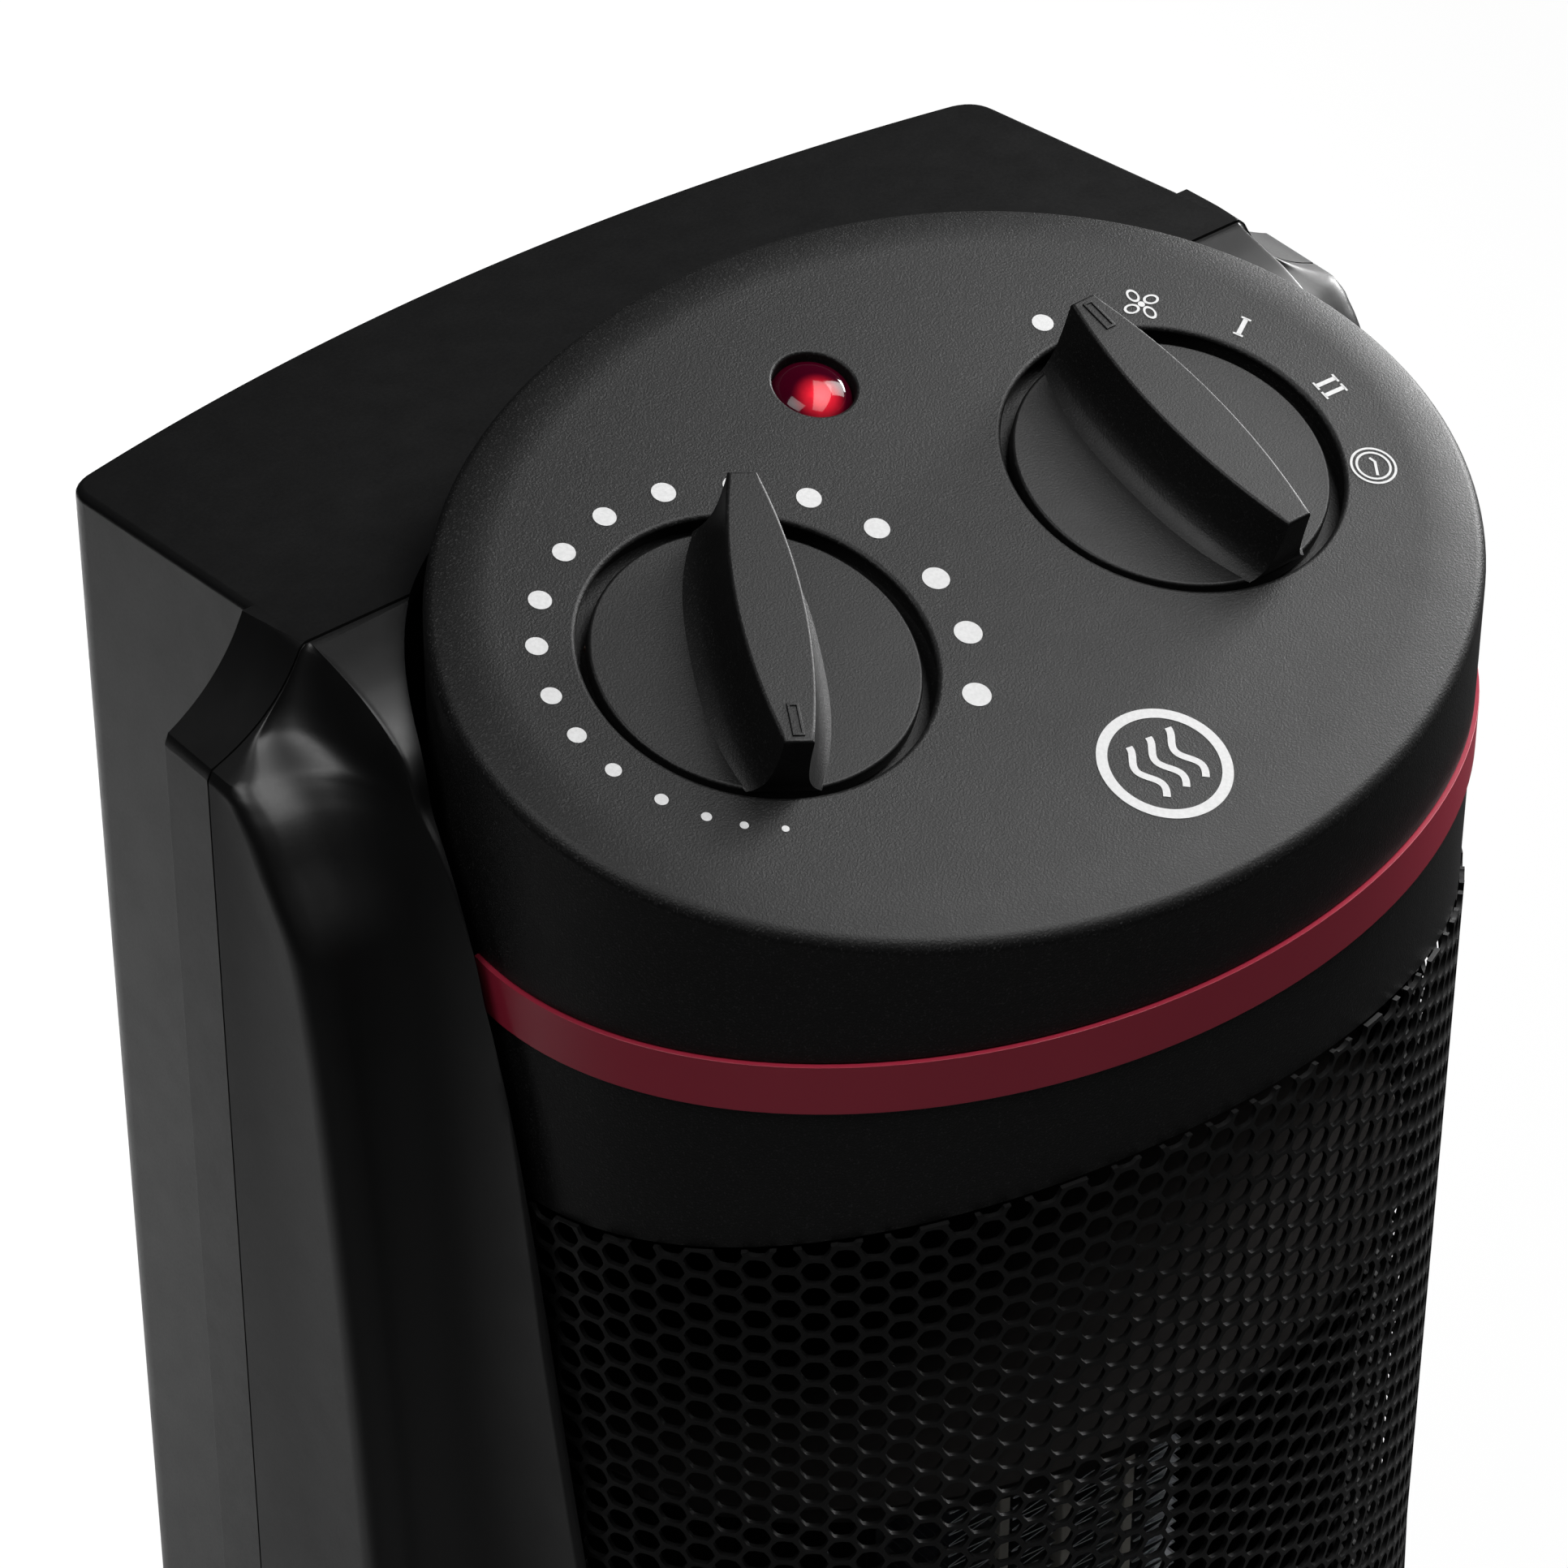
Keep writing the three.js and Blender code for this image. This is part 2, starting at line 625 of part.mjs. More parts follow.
function frontShell() {
  const backY = seamY - GAP;
  const sides = fairings(0, backY, towerBottom);
  const groove = cut(
    ovalSolid(-COLUMN_GROOVE, grilleBottom, topAtSeam + OVERRUN),
    underArch(grilleBottom, ARCH_RISE, towerBottom),
  );
  const panelBackY = Math.min(backY, columnY + COLUMN_HALF_DEPTH * PANEL_WRAP_SHARE);
  const behind = block(
    [-FLANGE_HALF_WIDTH, panelBackY, towerBottom - OVERRUN],
    [FLANGE_HALF_WIDTH, rearY, topAtSeam + OVERRUN],
  );
  const panel = cut(
    ovalSolid(0, towerBottom, panelSide + OVERRUN).intersect(
      underArch(grilleBottom, ARCH_RISE, towerBottom - OVERRUN),
    ),
    behind,
  );
  const hollow = cut(
    fairings(WALL, seamY + OVERRUN, towerBottom - OVERRUN),
    ovalSolid(-COLUMN_GROOVE - WALL, panelSide - WALL, topAtSeam + OVERRUN),
  );
  const bore = ovalSolid(WALL, towerBottom - OVERRUN, panelSide + 2 * OVERRUN);
  const channels = [-1, 1].map(grilleChannel);
  let shell = cut(join(cut(sides, groove), panel), hollow, bore);
  shell = join(shell, ...channels);
  for (const [x, z] of housingScrewPlaces()) {
    const boss = rod(BOSS_RADIUS, backY - FLANGE_REACH, backY, x, z, true, 10).intersect(sides);
    const pilot = rod(SCREW_RADIUS + GAP, backY - FLANGE_SCREW_LENGTH, backY + OVERRUN, x, z, true, 10);
    shell = cut(join(shell, boss), pilot);
  }
  return shell;
}

// Control head, stripe, collar and grille

const CAP_SIDES = 36;
const EDGE_STEPS = 3;

/** A solid filling the control head, inset from its sides and lowered from its plate. */
function capSolid(inset, drop, bottom) {
  const ring = (reduce, level) => Array.from({ length: CAP_SIDES }, (_, i) => {
    const angle = (2 * Math.PI * i) / CAP_SIDES;
    const x = (COLUMN_HALF_WIDTH - reduce) * Math.cos(angle);
    const along = (COLUMN_HALF_DEPTH - reduce) * Math.sin(angle);
    return new THREE.Vector3(x, columnY + along, level(along));
  });
  const rings = [ring(inset, () => bottom)];
  for (let i = 0; i <= EDGE_STEPS; i += 1) {
    const turn = (Math.PI / 2) * (i / EDGE_STEPS);
    const reduce = inset + CAP_EDGE * (1 - Math.cos(turn));
    const lower = drop + CAP_EDGE * (1 - Math.sin(turn));
    rings.push(ring(reduce, (along) => PANEL_HEIGHT + along * Math.tan(PLATE_TILT) - lower));
  }
  return loft(rings);
}

/** Moves a solid drawn on the control plate to its tilted place. */
function onPlate(body) {
  return body.rotate([THREE.MathUtils.radToDeg(PLATE_TILT), 0, 0]).translate([0, columnY, PANEL_HEIGHT]);
}

/** The band round the column where the stripe lies, open at the rear. */
function stripeBand(inner, outer, bottom, top, endGap) {
  const ring = cut(ovalSolid(outer, bottom, top), ovalSolid(inner, bottom - OVERRUN, top + OVERRUN));
  const endY = columnY + COLUMN_HALF_DEPTH * Math.sin(STRIPE_END) + endGap;
  const front = block(
    [-COLUMN_HALF_WIDTH - OVERRUN, columnY - COLUMN_HALF_DEPTH - OVERRUN, bottom],
    [COLUMN_HALF_WIDTH + OVERRUN, endY, top],
  );
  return ring.intersect(front);
}

function controlCap() {
  const groove = stripeBand(STRIPE_DEPTH + GAP, -OVERRUN / 2, stripeBottom - OVERRUN, stripeTop, GAP);
  let cap = cut(
    capSolid(0, 0, stripeBottom),
    capSolid(CAP_WALL, PLATE_THICKNESS, stripeBottom - OVERRUN),
    groove,
  );
  for (const side of [-1, 1]) {
    const x = side * KNOB_SPACING / 2;
    const well = rod(KNOB_RADIUS + KNOB_WELL_CLEARANCE, -KNOB_WELL_DEPTH, OVERRUN, x, -KNOB_AHEAD, false, 40);
    const hole = rod(SHAFT_RADIUS + RUNNING, -PLATE_THICKNESS - OVERRUN, OVERRUN, x, -KNOB_AHEAD, false, 16);
    cap = cut(cap, onPlate(well), onPlate(hole));
  }
  const window = rod(LENS_RADIUS + GAP, -PLATE_THICKNESS - OVERRUN, OVERRUN, 0, LENS_BEHIND, false, 20);
  return cut(cap, onPlate(window));
}

function accentStripe() {
  return stripeBand(STRIPE_DEPTH, 0, stripeBottom, stripeTop - GAP, 0);
}

function grilleCollar() {
  const top = stripeBottom - GAP;
  const ring = cut(ovalSolid(0, collarSide, top), ovalSolid(WALL, collarSide - OVERRUN, top + OVERRUN));
  return cut(ring, underArch(collarLow, -ARCH_RISE, collarSide - OVERRUN));
}

/** Bends a flat panel, drawn as arc length and height, round the front of the column. */
function wrapped(geometry, curve, length) {
  const positions = geometry.attributes.position;
  for (let i = 0; i < positions.count; i += 1) {
    const share = THREE.MathUtils.clamp(0.5 + positions.getX(i) / length, 0, 1);
    const place = curve.getPointAt(share);
    const along = curve.getTangentAt(share);
    const depth = positions.getZ(i);
    positions.setXYZ(i, place.x - along.y * depth, place.y + along.x * depth, positions.getY(i));
  }
  return geometry;
}

const GRILLE_EDGE_STEPS = 24;
const GRILLE_FACET = 25;

/** One cell of the honeycomb, as a prism through the sheet. */
function honeycombCell(s, z) {
  const reach = (HONEYCOMB_PITCH - HONEYCOMB_WEB) / Math.sqrt(3);
  const corners = Array.from({ length: 6 }, (_, i) => {
    const angle = (i * Math.PI) / 3;
    return new THREE.Vector2(s + reach * Math.cos(angle), z + reach * Math.sin(angle));
  });
  return prism(new THREE.Shape(corners), -OVERRUN, GRILLE_THICKNESS + OVERRUN);
}

/** The honeycomb grille: a sheet with staggered hexagons, bent round the oval column. */
function frontGrille() {
  const curve = new THREE.EllipseCurve(
    0, columnY, COLUMN_HALF_WIDTH, COLUMN_HALF_DEPTH,
    Math.PI - GRILLE_WRAP, 2 * Math.PI + GRILLE_WRAP, false, 0,
  );
  curve.arcLengthDivisions = 800;
  const length = curve.getLength();
  const plan = (s) => curve.getPointAt(THREE.MathUtils.clamp(0.5 + s / length, 0, 1)).x;
  const low = (s) => arch(grilleBottom, ARCH_RISE, plan(s)) + GAP;
  const high = (s) => arch(collarLow, -ARCH_RISE, plan(s)) - GAP;
  const sheet = (inset) => {
    const half = length / 2 - inset;
    const shares = Array.from({ length: GRILLE_EDGE_STEPS + 1 }, (_, i) => (2 * i) / GRILLE_EDGE_STEPS - 1);
    const places = shares.map((share) => half * share);
    return new THREE.Shape([
      ...places.map((s) => new THREE.Vector2(s, low(s) + inset)),
      ...places.reverse().map((s) => new THREE.Vector2(s, high(s) - inset)),
    ]);
  };
  const middle = (collarLow + grilleBottom) / 2;
  const columnPitch = HONEYCOMB_PITCH * Math.sqrt(3) / 2;
  const rows = Math.ceil((collarLow - grilleBottom) / HONEYCOMB_PITCH / 2);
  const columns = Math.ceil(length / columnPitch / 2);
  const cells = [];
  for (let column = -columns; column <= columns; column += 1) {
    for (let row = -rows; row <= rows; row += 1) {
      const s = column * columnPitch;
      const z = middle + (row + Math.abs(column % 2) / 2) * HONEYCOMB_PITCH;
      const inside = Math.abs(s) < length / 2 - HONEYCOMB_BORDER
        && z > low(s) + HONEYCOMB_BORDER && z < high(s) - HONEYCOMB_BORDER;
      if (inside) {
        cells.push(honeycombCell(s, z));
      }
    }
  }
  const open = prism(sheet(HONEYCOMB_BORDER), -OVERRUN, GRILLE_THICKNESS + OVERRUN).intersect(join(...cells));
  const flat = cut(prism(sheet(0), 0, GRILLE_THICKNESS), open).refineToLength(GRILLE_FACET);
  const bent = wrapped(bare(geometryOf(flat)), curve, length);
  const body = solid(bent);
  return body.volume() < 0 ? solid(flipped(bent)) : body;
}

// Knobs, shafts and what they turn, drawn on the control plate

const KNOB_CHAMFER = 0.5;
const KNOB_BORE_TOP = 7;
const GRIP_STEPS = 5;
const GRIP_PROFILE_SHARES = [[0, 1], [0.1, 0.62], [0.3, 0.28], [0.6, 0.07], [0.93, 0], [1, -0.14]];
const MARK_LENGTH = 7;
const MARK_WIDTH = 1.6;
const MARK_RISE = 0.3;
const CONTROL_BODY_HEIGHT = 18;
const THERMOSTAT_HALF_WIDTH = 17;
const THERMOSTAT_HALF_DEPTH = 14;
const SELECTOR_RADIUS = 16;
const SHAFT_IN_BODY = 10;

/** One level section of a knob's lens-shaped grip. */
function gripRing(halfWidth, halfLength, z) {
  const sideLine = (sign) => Array.from({ length: GRIP_STEPS + 1 }, (_, i) => {
    const place = sign * (1 - (2 * i) / GRIP_STEPS);
    const across = GRIP_HALF_END + (halfWidth - GRIP_HALF_END) * (1 - place ** 2);
    return new THREE.Vector3(place * halfLength, sign * across, z);
  });
  return [...sideLine(1), ...sideLine(-1)];
}

function knob() {
  const bottom = RUNNING - KNOB_WELL_DEPTH;
  const rim = KNOB_RADIUS - KNOB_CHAMFER;
  const skirt = turned([
    [0, bottom], [rim, bottom], [KNOB_RADIUS, bottom + KNOB_CHAMFER],
    [KNOB_RADIUS, SKIRT_HEIGHT - KNOB_CHAMFER], [rim, SKIRT_HEIGHT], [0, SKIRT_HEIGHT],
  ], 0, 0, 28);
  const root = SKIRT_HEIGHT - KNOB_CHAMFER;
  const rings = GRIP_PROFILE_SHARES.map(([rise, spread]) => {
    const halfWidth = GRIP_HALF_TOP + (GRIP_HALF_BASE - GRIP_HALF_TOP) * spread;
    return gripRing(halfWidth, rim - KNOB_CHAMFER, root + (GRIP_HEIGHT - root) * rise);
  });
  const mark = block(
    [rim - 2 * KNOB_CHAMFER - MARK_LENGTH, -MARK_WIDTH / 2, GRIP_HEIGHT - MARK_RISE],
    [rim - 2 * KNOB_CHAMFER, MARK_WIDTH / 2, GRIP_HEIGHT + MARK_RISE],
  );
  const bore = rod(SHAFT_RADIUS + GAP, bottom - OVERRUN, KNOB_BORE_TOP, 0, 0, false, 16);
  return cut(join(skirt, loft(rings), mark), bore);
}

function knobShaft() {
  const bottom = -PLATE_THICKNESS - GAP - SHAFT_IN_BODY;
  return rod(SHAFT_RADIUS, bottom, KNOB_BORE_TOP - GAP, 0, 0, false, 16);
}

function controlBody(outer) {
  const top = -PLATE_THICKNESS - GAP;
  const bore = rod(SHAFT_RADIUS + RUNNING, top - SHAFT_IN_BODY - GAP, top + OVERRUN, 0, 0, false, 16);
  return cut(outer, bore);
}

function thermostatBody() {
  const top = -PLATE_THICKNESS - GAP;
  return controlBody(block(
    [-THERMOSTAT_HALF_WIDTH, -THERMOSTAT_HALF_DEPTH, top - CONTROL_BODY_HEIGHT],
    [THERMOSTAT_HALF_WIDTH, THERMOSTAT_HALF_DEPTH, top],
  ));
}

function selectorSwitch() {
  const top = -PLATE_THICKNESS - GAP;
  return controlBody(rod(SELECTOR_RADIUS, top - CONTROL_BODY_HEIGHT, top, 0, 0, false, 28));
}

const LENS_FLANGE = 1.5;
const LAMP_HOLDER_LENGTH = 12;

function pilotLens() {
  const crown = -RUNNING;
  const flangeTop = -PLATE_THICKNESS - GAP;
  const edge = crown - LENS_CROWN;
  const dome = [0.8, 0.4, 0].map((share) => [LENS_RADIUS * share, edge + LENS_CROWN * (1 - share ** 2)]);
  return turned([
    [0, flangeTop - LENS_FLANGE], [LENS_RADIUS + LENS_FLANGE, flangeTop - LENS_FLANGE],
    [LENS_RADIUS + LENS_FLANGE, flangeTop], [LENS_RADIUS, flangeTop], [LENS_RADIUS, edge], ...dome,
  ], 0, 0, 16);
}

function lampHolder() {
  const top = -PLATE_THICKNESS - 2 * GAP - LENS_FLANGE;
  const bottom = top - LAMP_HOLDER_LENGTH;
  const outer = rod(LENS_RADIUS + LENS_FLANGE, bottom, top, 0, 0, false, 16);
  return cut(outer, rod(LENS_RADIUS - LENS_FLANGE, bottom - OVERRUN, top + OVERRUN, 0, 0, false, 16));
}

// Swivel base

const DOME_STEPS = 3;
const BASE_SIDES = 32;
const SCREW_HEAD_HEIGHT = 1.8;
const SCREW_LENGTH = 11;
const FOOT_STEM_RADIUS = 2.5;
const SCREW_TURNS = [1, 3, 5, 7].map((eighths) => (eighths * Math.PI) / 4);

const around = (radius) => SCREW_TURNS.map((turn) => [radius * Math.cos(turn), radius * Math.sin(turn)]);

function domeArc(wall) {
  const rimTop = FOOT_HEIGHT + BASE_RIM;
  return Array.from({ length: DOME_STEPS + 1 }, (_, i) => {
    const turn = (Math.PI / 2) * (i / DOME_STEPS);
    return new THREE.Vector2(
      DECK_RADIUS + (BASE_RADIUS - wall - DECK_RADIUS) * Math.cos(turn),
      rimTop + (deckTop - wall - rimTop) * Math.sin(turn),
    );
  });
}

/** Radius inside the dome's wall at a height above its rim. */
function domeBore(z) {
  const rimTop = FOOT_HEIGHT + BASE_RIM;
  const rise = Math.max(z - rimTop, 0) / (deckBottom - rimTop);
  return DECK_RADIUS + (BASE_RADIUS - BASE_WALL - DECK_RADIUS) * Math.sqrt(1 - rise ** 2);
}

const glandBack = Math.sqrt(domeBore(GLAND_HEIGHT + GLAND_FLANGE) ** 2 - GLAND_FLANGE ** 2);
const glandInner = glandBack - BASE_WALL - RUNNING - GAP;

function glandHole(radius) {
  return rod(radius, glandInner - OVERRUN, BASE_RADIUS + OVERRUN, 0, GLAND_HEIGHT, true, 20);
}

function baseCover() {
  const neckHole = NECK_RADIUS + NECK_CLEARANCE;
  const profile = [
    new THREE.Vector2(neckHole, deckBottom),
    ...domeArc(BASE_WALL).reverse(),
    new THREE.Vector2(BASE_RADIUS - BASE_WALL, FOOT_HEIGHT),
    new THREE.Vector2(BASE_RADIUS, FOOT_HEIGHT),
    ...domeArc(0),
    new THREE.Vector2(neckHole, deckTop),
    new THREE.Vector2(neckHole, deckBottom),
  ];
  const geometry = new THREE.LatheGeometry(profile, BASE_SIDES);
  geometry.rotateX(Math.PI / 2);
  let cover = solid(geometry);
  cover = cover.volume() < 0 ? solid(flipped(bare(geometry))) : cover;
  for (const [x, y] of around(SCREW_CIRCLE)) {
    const boss = rod(BOSS_RADIUS, basePlateTop + GAP, deckBottom + GAP, x, y, false, 10);
    const pilot = rod(SCREW_RADIUS + GAP, basePlateTop - OVERRUN, basePlateTop + SCREW_LENGTH, x, y, false, 10);
    cover = cut(join(cover, boss), pilot);
  }
  return cut(cover, glandHole(GLAND_RADIUS + GAP));
}

function basePlate() {
  let plate = rod(BASE_RADIUS - BASE_WALL - GAP, FOOT_HEIGHT, basePlateTop, 0, 0, false, BASE_SIDES);
  const holes = [
    ...around(SCREW_CIRCLE).map((place) => [SCREW_RADIUS + GAP, place]),
    ...around(FOOT_CIRCLE).map((place) => [FOOT_STEM_RADIUS + GAP, place]),
    [PLUNGER_RADIUS + RUNNING, [0, PLUNGER_BEHIND]],
  ];
  for (const [radius, [x, y]] of holes) {
    plate = cut(plate, rod(radius, FOOT_HEIGHT - OVERRUN, basePlateTop + OVERRUN, x, y, false, 10));
  }
  return plate;
}

function foot([x, y]) {
  const pad = rod(FOOT_RADIUS, 0, FOOT_HEIGHT - GAP, x, y, false, 14);
  return join(pad, rod(FOOT_STEM_RADIUS, GAP, basePlateTop, x, y, false, 8));
}

function baseScrew([x, y]) {
  const headTop = FOOT_HEIGHT - GAP;
  const head = rod(SCREW_HEAD, headTop - SCREW_HEAD_HEIGHT, headTop, x, y, false, 10);
  return join(head, rod(SCREW_RADIUS, headTop - GAP, headTop + SCREW_LENGTH, x, y, false, 10));
}

function swivelBearing() {
  const bottom = deckTop + GAP;
  const top = bottom + BEARING_HEIGHT;
  return cut(
    rod(BEARING_OUTER, bottom, top, 0, 0, false, 32),
    rod(BEARING_INNER, bottom - OVERRUN, top + OVERRUN, 0, 0, false, 32),
  );
}

function swivelMotor() {
  const bottom = basePlateTop + GAP;
  const top = bottom + SWIVEL_MOTOR_HEIGHT;
  const can = rod(SWIVEL_MOTOR_RADIUS, bottom, top, 0, -crankCentre, false, 36);
  return join(can, rod(SHAFT_RADIUS, top - GAP, crankBottom + CRANK_THICKNESS, 0, -crankCentre, false, 16));
}

function swivelCrank() {
  const top = crankBottom + CRANK_THICKNESS;
  const hubY = -crankCentre;
  const pinY = hubY - CRANK_RADIUS;
  const arm = join(
    rod(CRANK_HUB, crankBottom, top, 0, hubY),
    rod(CRANK_ARM_HALF, crankBottom, top, 0, pinY),
    block([-CRANK_ARM_HALF, pinY, crankBottom], [CRANK_ARM_HALF, hubY, top]),
    rod(CRANK_PIN_RADIUS, crankBottom, yokeTop - GAP, 0, pinY, false, 16),
  );
  const bore = rod(SHAFT_RADIUS + GAP, crankBottom - OVERRUN, top + OVERRUN, 0, hubY, false, 16);
  return cut(arm, bore);
}

function swivelYoke() {
  const slotHalf = CRANK_PIN_RADIUS + CRANK_PIN_PLAY;
  const near = Math.hypot(crankCentre, CRANK_RADIUS);
  const far = crankCentre + CRANK_RADIUS;
  const armHalf = slotHalf + YOKE_THICKNESS;
  const arm = join(
    rod(NECK_RADIUS, yokeBottom, yokeTop, 0, 0, false, 28),
    block([-armHalf, -far - armHalf, yokeBottom], [armHalf, 0, yokeTop]),
  );
  const slot = block(
    [-slotHalf, -far - slotHalf, yokeBottom - OVERRUN],
    [slotHalf, slotHalf - near, yokeTop + OVERRUN],
  );
  return cut(arm, slot, rod(NECK_BORE, yokeBottom - OVERRUN, yokeTop + OVERRUN, 0, 0, false, 32));
}

function towerFloor() {
  const inset = WALL + GAP;
  const plate = join(
    prism(housingOutline(inset, columnY), floorBottom, floorTop, PLAN_STEPS),
    ovalSolid(inset, floorBottom, floorTop),
  );
  const neck = rod(NECK_RADIUS, yokeTop + GAP, floorTop, 0, 0, false, 28);
  return cut(join(plate, neck), rod(NECK_BORE, yokeBottom, floorTop + OVERRUN, 0, 0, false, 32));
}

function cordGland() {
  const barrel = rod(GLAND_RADIUS, glandInner, BASE_RADIUS - GAP, 0, GLAND_HEIGHT, true, 20);
  const flange = rod(GLAND_FLANGE, glandInner, glandInner + BASE_WALL, 0, GLAND_HEIGHT, true, 20);
  return cut(join(barrel, flange), glandHole(GLAND_BORE));
}

const PLUNGER_COLLAR = 4.5;
const PLUNGER_HEIGHT = 14;
const COLLAR_HEIGHT = 2;

function tipSwitchBody() {
  const bottom = basePlateTop + GAP;
  const half = SWITCH_BOX / 2;
  const shell = block(
    [-half, PLUNGER_BEHIND - half, bottom],
    [half, PLUNGER_BEHIND + half, bottom + SWITCH_BOX],
  );
  const top = bottom + SWITCH_BOX - BASE_WALL;
  return cut(shell, rod(PLUNGER_COLLAR + RUNNING, bottom - OVERRUN, top, 0, PLUNGER_BEHIND));
}

function tipPlunger() {
  const collarBottom = basePlateTop + PLUNGER_TRAVEL + RUNNING;
  return join(
    rod(PLUNGER_RADIUS, GAP, GAP + PLUNGER_HEIGHT, 0, PLUNGER_BEHIND, false, 16),
    rod(PLUNGER_COLLAR, collarBottom, collarBottom + COLLAR_HEIGHT, 0, PLUNGER_BEHIND, false, 20),
  );
}

// Air path, fan and motor

const FAN_DISC_COUNT = 3;
const FAN_BLADE_LEAN = 0.32;
const FAN_HUB_LENGTH = 12;
const BUSH_RADIUS = 7;
const INTAKE_ROOM = 12;

// Turns about the fan's axis in degrees, with distances from it as shares of the fan's radius
const SCROLL_SHARES = [[50, 1.45], [32, 1.12], [10, 1.155], [-12, 1.224], [-33, 1.345], [-52, 1.517]];
const TONGUE_SHARES = [[144, 1.72], [158, 1.24], [176, 1.11], [198, 1.086], [216, 1.138]];

/** Plan points of a duct wall from the intake window round the fan to the element. */
function ductPoints(side, shares) {
  return [
    [side * WINDOW_HALF_WIDTH, rearY - INTAKE_ROOM],
    ...shares.map(([angle, share]) => [
      FAN_RADIUS * share * Math.cos(rad(angle)), fanY + FAN_RADIUS * share * Math.sin(rad(angle)),
    ]),
    [side * elementHalfWidth(), elementY + ELEMENT_DEPTH + 3 * GAP],
  ];
}

function ductWall(points) {
  return prism(strip(points, DUCT_WALL), ductBottom + GAP, ductTop - GAP);
}

/** A level plate that closes the air path above or below the fan. */
function ductPlate(bottom, holeRadius) {
  const plate = join(
    prism(housingOutline(DUCT_MARGIN, seamY + GAP), bottom, bottom + DUCT_PLATE, PLAN_STEPS),
    ovalSolid(DUCT_MARGIN, bottom, bottom + DUCT_PLATE),
  );
  return cut(plate, rod(holeRadius, bottom - OVERRUN, bottom + DUCT_PLATE + OVERRUN, 0, fanY));
}

function fanWheel() {
  const bottom = ductBottom + FAN_END_PLAY;
  const top = ductTop - FAN_END_PLAY;
  const inner = FAN_RADIUS - FAN_BLADE_DEPTH;
  const pitch = (top - bottom - FAN_DISC) / (FAN_DISC_COUNT - 1);
  let wheel = join(
    rod(FAN_RADIUS, bottom, bottom + FAN_DISC, 0, fanY, false, 20),
    rod(FAN_RADIUS, top - FAN_DISC, top, 0, fanY, false, 20),
    rod(FAN_HUB_RADIUS, bottom, bottom + FAN_HUB_LENGTH, 0, fanY, false, 20),
    rod(MOTOR_SHAFT_RADIUS, top - FAN_DISC, ductTop + DUCT_PLATE, 0, fanY, false, 12),
  );
  for (let i = 1; i < FAN_DISC_COUNT - 1; i += 1) {
    const z = bottom + i * pitch;
    const ring = cut(
      rod(FAN_RADIUS, z, z + FAN_DISC, 0, fanY, false, 20),
      rod(inner, z - OVERRUN, z + FAN_DISC + OVERRUN, 0, fanY, false, 20),
    );
    wheel = join(wheel, ring);
  }
  for (let i = 0; i < FAN_BLADES; i += 1) {
    const turn = (2 * Math.PI * i) / FAN_BLADES;
    const points = [0, 1].map((share) => {
      const radius = inner + FAN_BLADE_DEPTH * share - FAN_BLADE_THICKNESS / 2;
      const angle = turn + FAN_BLADE_LEAN * share ** 2;
      return [radius * Math.cos(angle), fanY + radius * Math.sin(angle)];
    });
    wheel = join(wheel, prism(strip(points, FAN_BLADE_THICKNESS), bottom, top));
  }
  const bore = rod(
    MOTOR_SHAFT_RADIUS + GAP, bottom - OVERRUN, bottom + FAN_HUB_LENGTH - FAN_DISC, 0, fanY, false, 12,
  );
  return cut(wheel, bore);
}

function topBush() {
  const profile = [
    [MOTOR_SHAFT_RADIUS + RUNNING, ductTop - GAP],
    [BUSH_RADIUS, ductTop - GAP],
    [BUSH_RADIUS, ductTop + 2 * DUCT_PLATE],
    [MOTOR_SHAFT_RADIUS + RUNNING, ductTop + 2 * DUCT_PLATE],
    [MOTOR_SHAFT_RADIUS + RUNNING, ductTop - GAP],
  ];
  return turned(profile, 0, fanY, 24);
}

const stackTop = ductBottom - DUCT_PLATE - MOTOR_BELOW_DUCT;
const stackBottom = stackTop - STATOR_HEIGHT;
const POLE_HALF = 22;
const STATOR_BAR = 9;
const COIL_ROOM = 14;
const COIL_BUILD = 5;

function motorStator() {
  const half = STATOR_DEPTH / 2;
  const barX = POLE_HALF + COIL_ROOM + COIL_BUILD;
  const parts = [
    [[-POLE_HALF, -half], [POLE_HALF, half]],
    [[POLE_HALF - OVERRUN, -half], [barX + STATOR_BAR, STATOR_BAR - half]],
    [[POLE_HALF - OVERRUN, half - STATOR_BAR], [barX + STATOR_BAR, half]],
    [[barX, -half], [barX + STATOR_BAR, half]],
  ].map(([[x0, y0], [x1, y1]]) => block([x0, fanY + y0, stackBottom], [x1, fanY + y1, stackTop]));
  const boreRadius = ROTOR_RADIUS + ROTOR_CLEARANCE;
  const bore = rod(boreRadius, stackBottom - OVERRUN, stackTop + OVERRUN, 0, fanY, false, 20);
  return cut(join(...parts), bore);
}

function motorCoil() {
  const barX = POLE_HALF + COIL_ROOM + COIL_BUILD;
  const half = STATOR_DEPTH / 2 - STATOR_BAR - GAP;
  const outer = block(
    [barX - COIL_BUILD, fanY - half, stackBottom - COIL_BUILD],
    [barX + STATOR_BAR + COIL_BUILD, fanY + half, stackTop + COIL_BUILD],
  );
  const core = block(
    [barX - GAP, fanY - half - OVERRUN, stackBottom - GAP],
    [barX + STATOR_BAR + GAP, fanY + half + OVERRUN, stackTop + GAP],
  );
  return cut(outer, core);
}

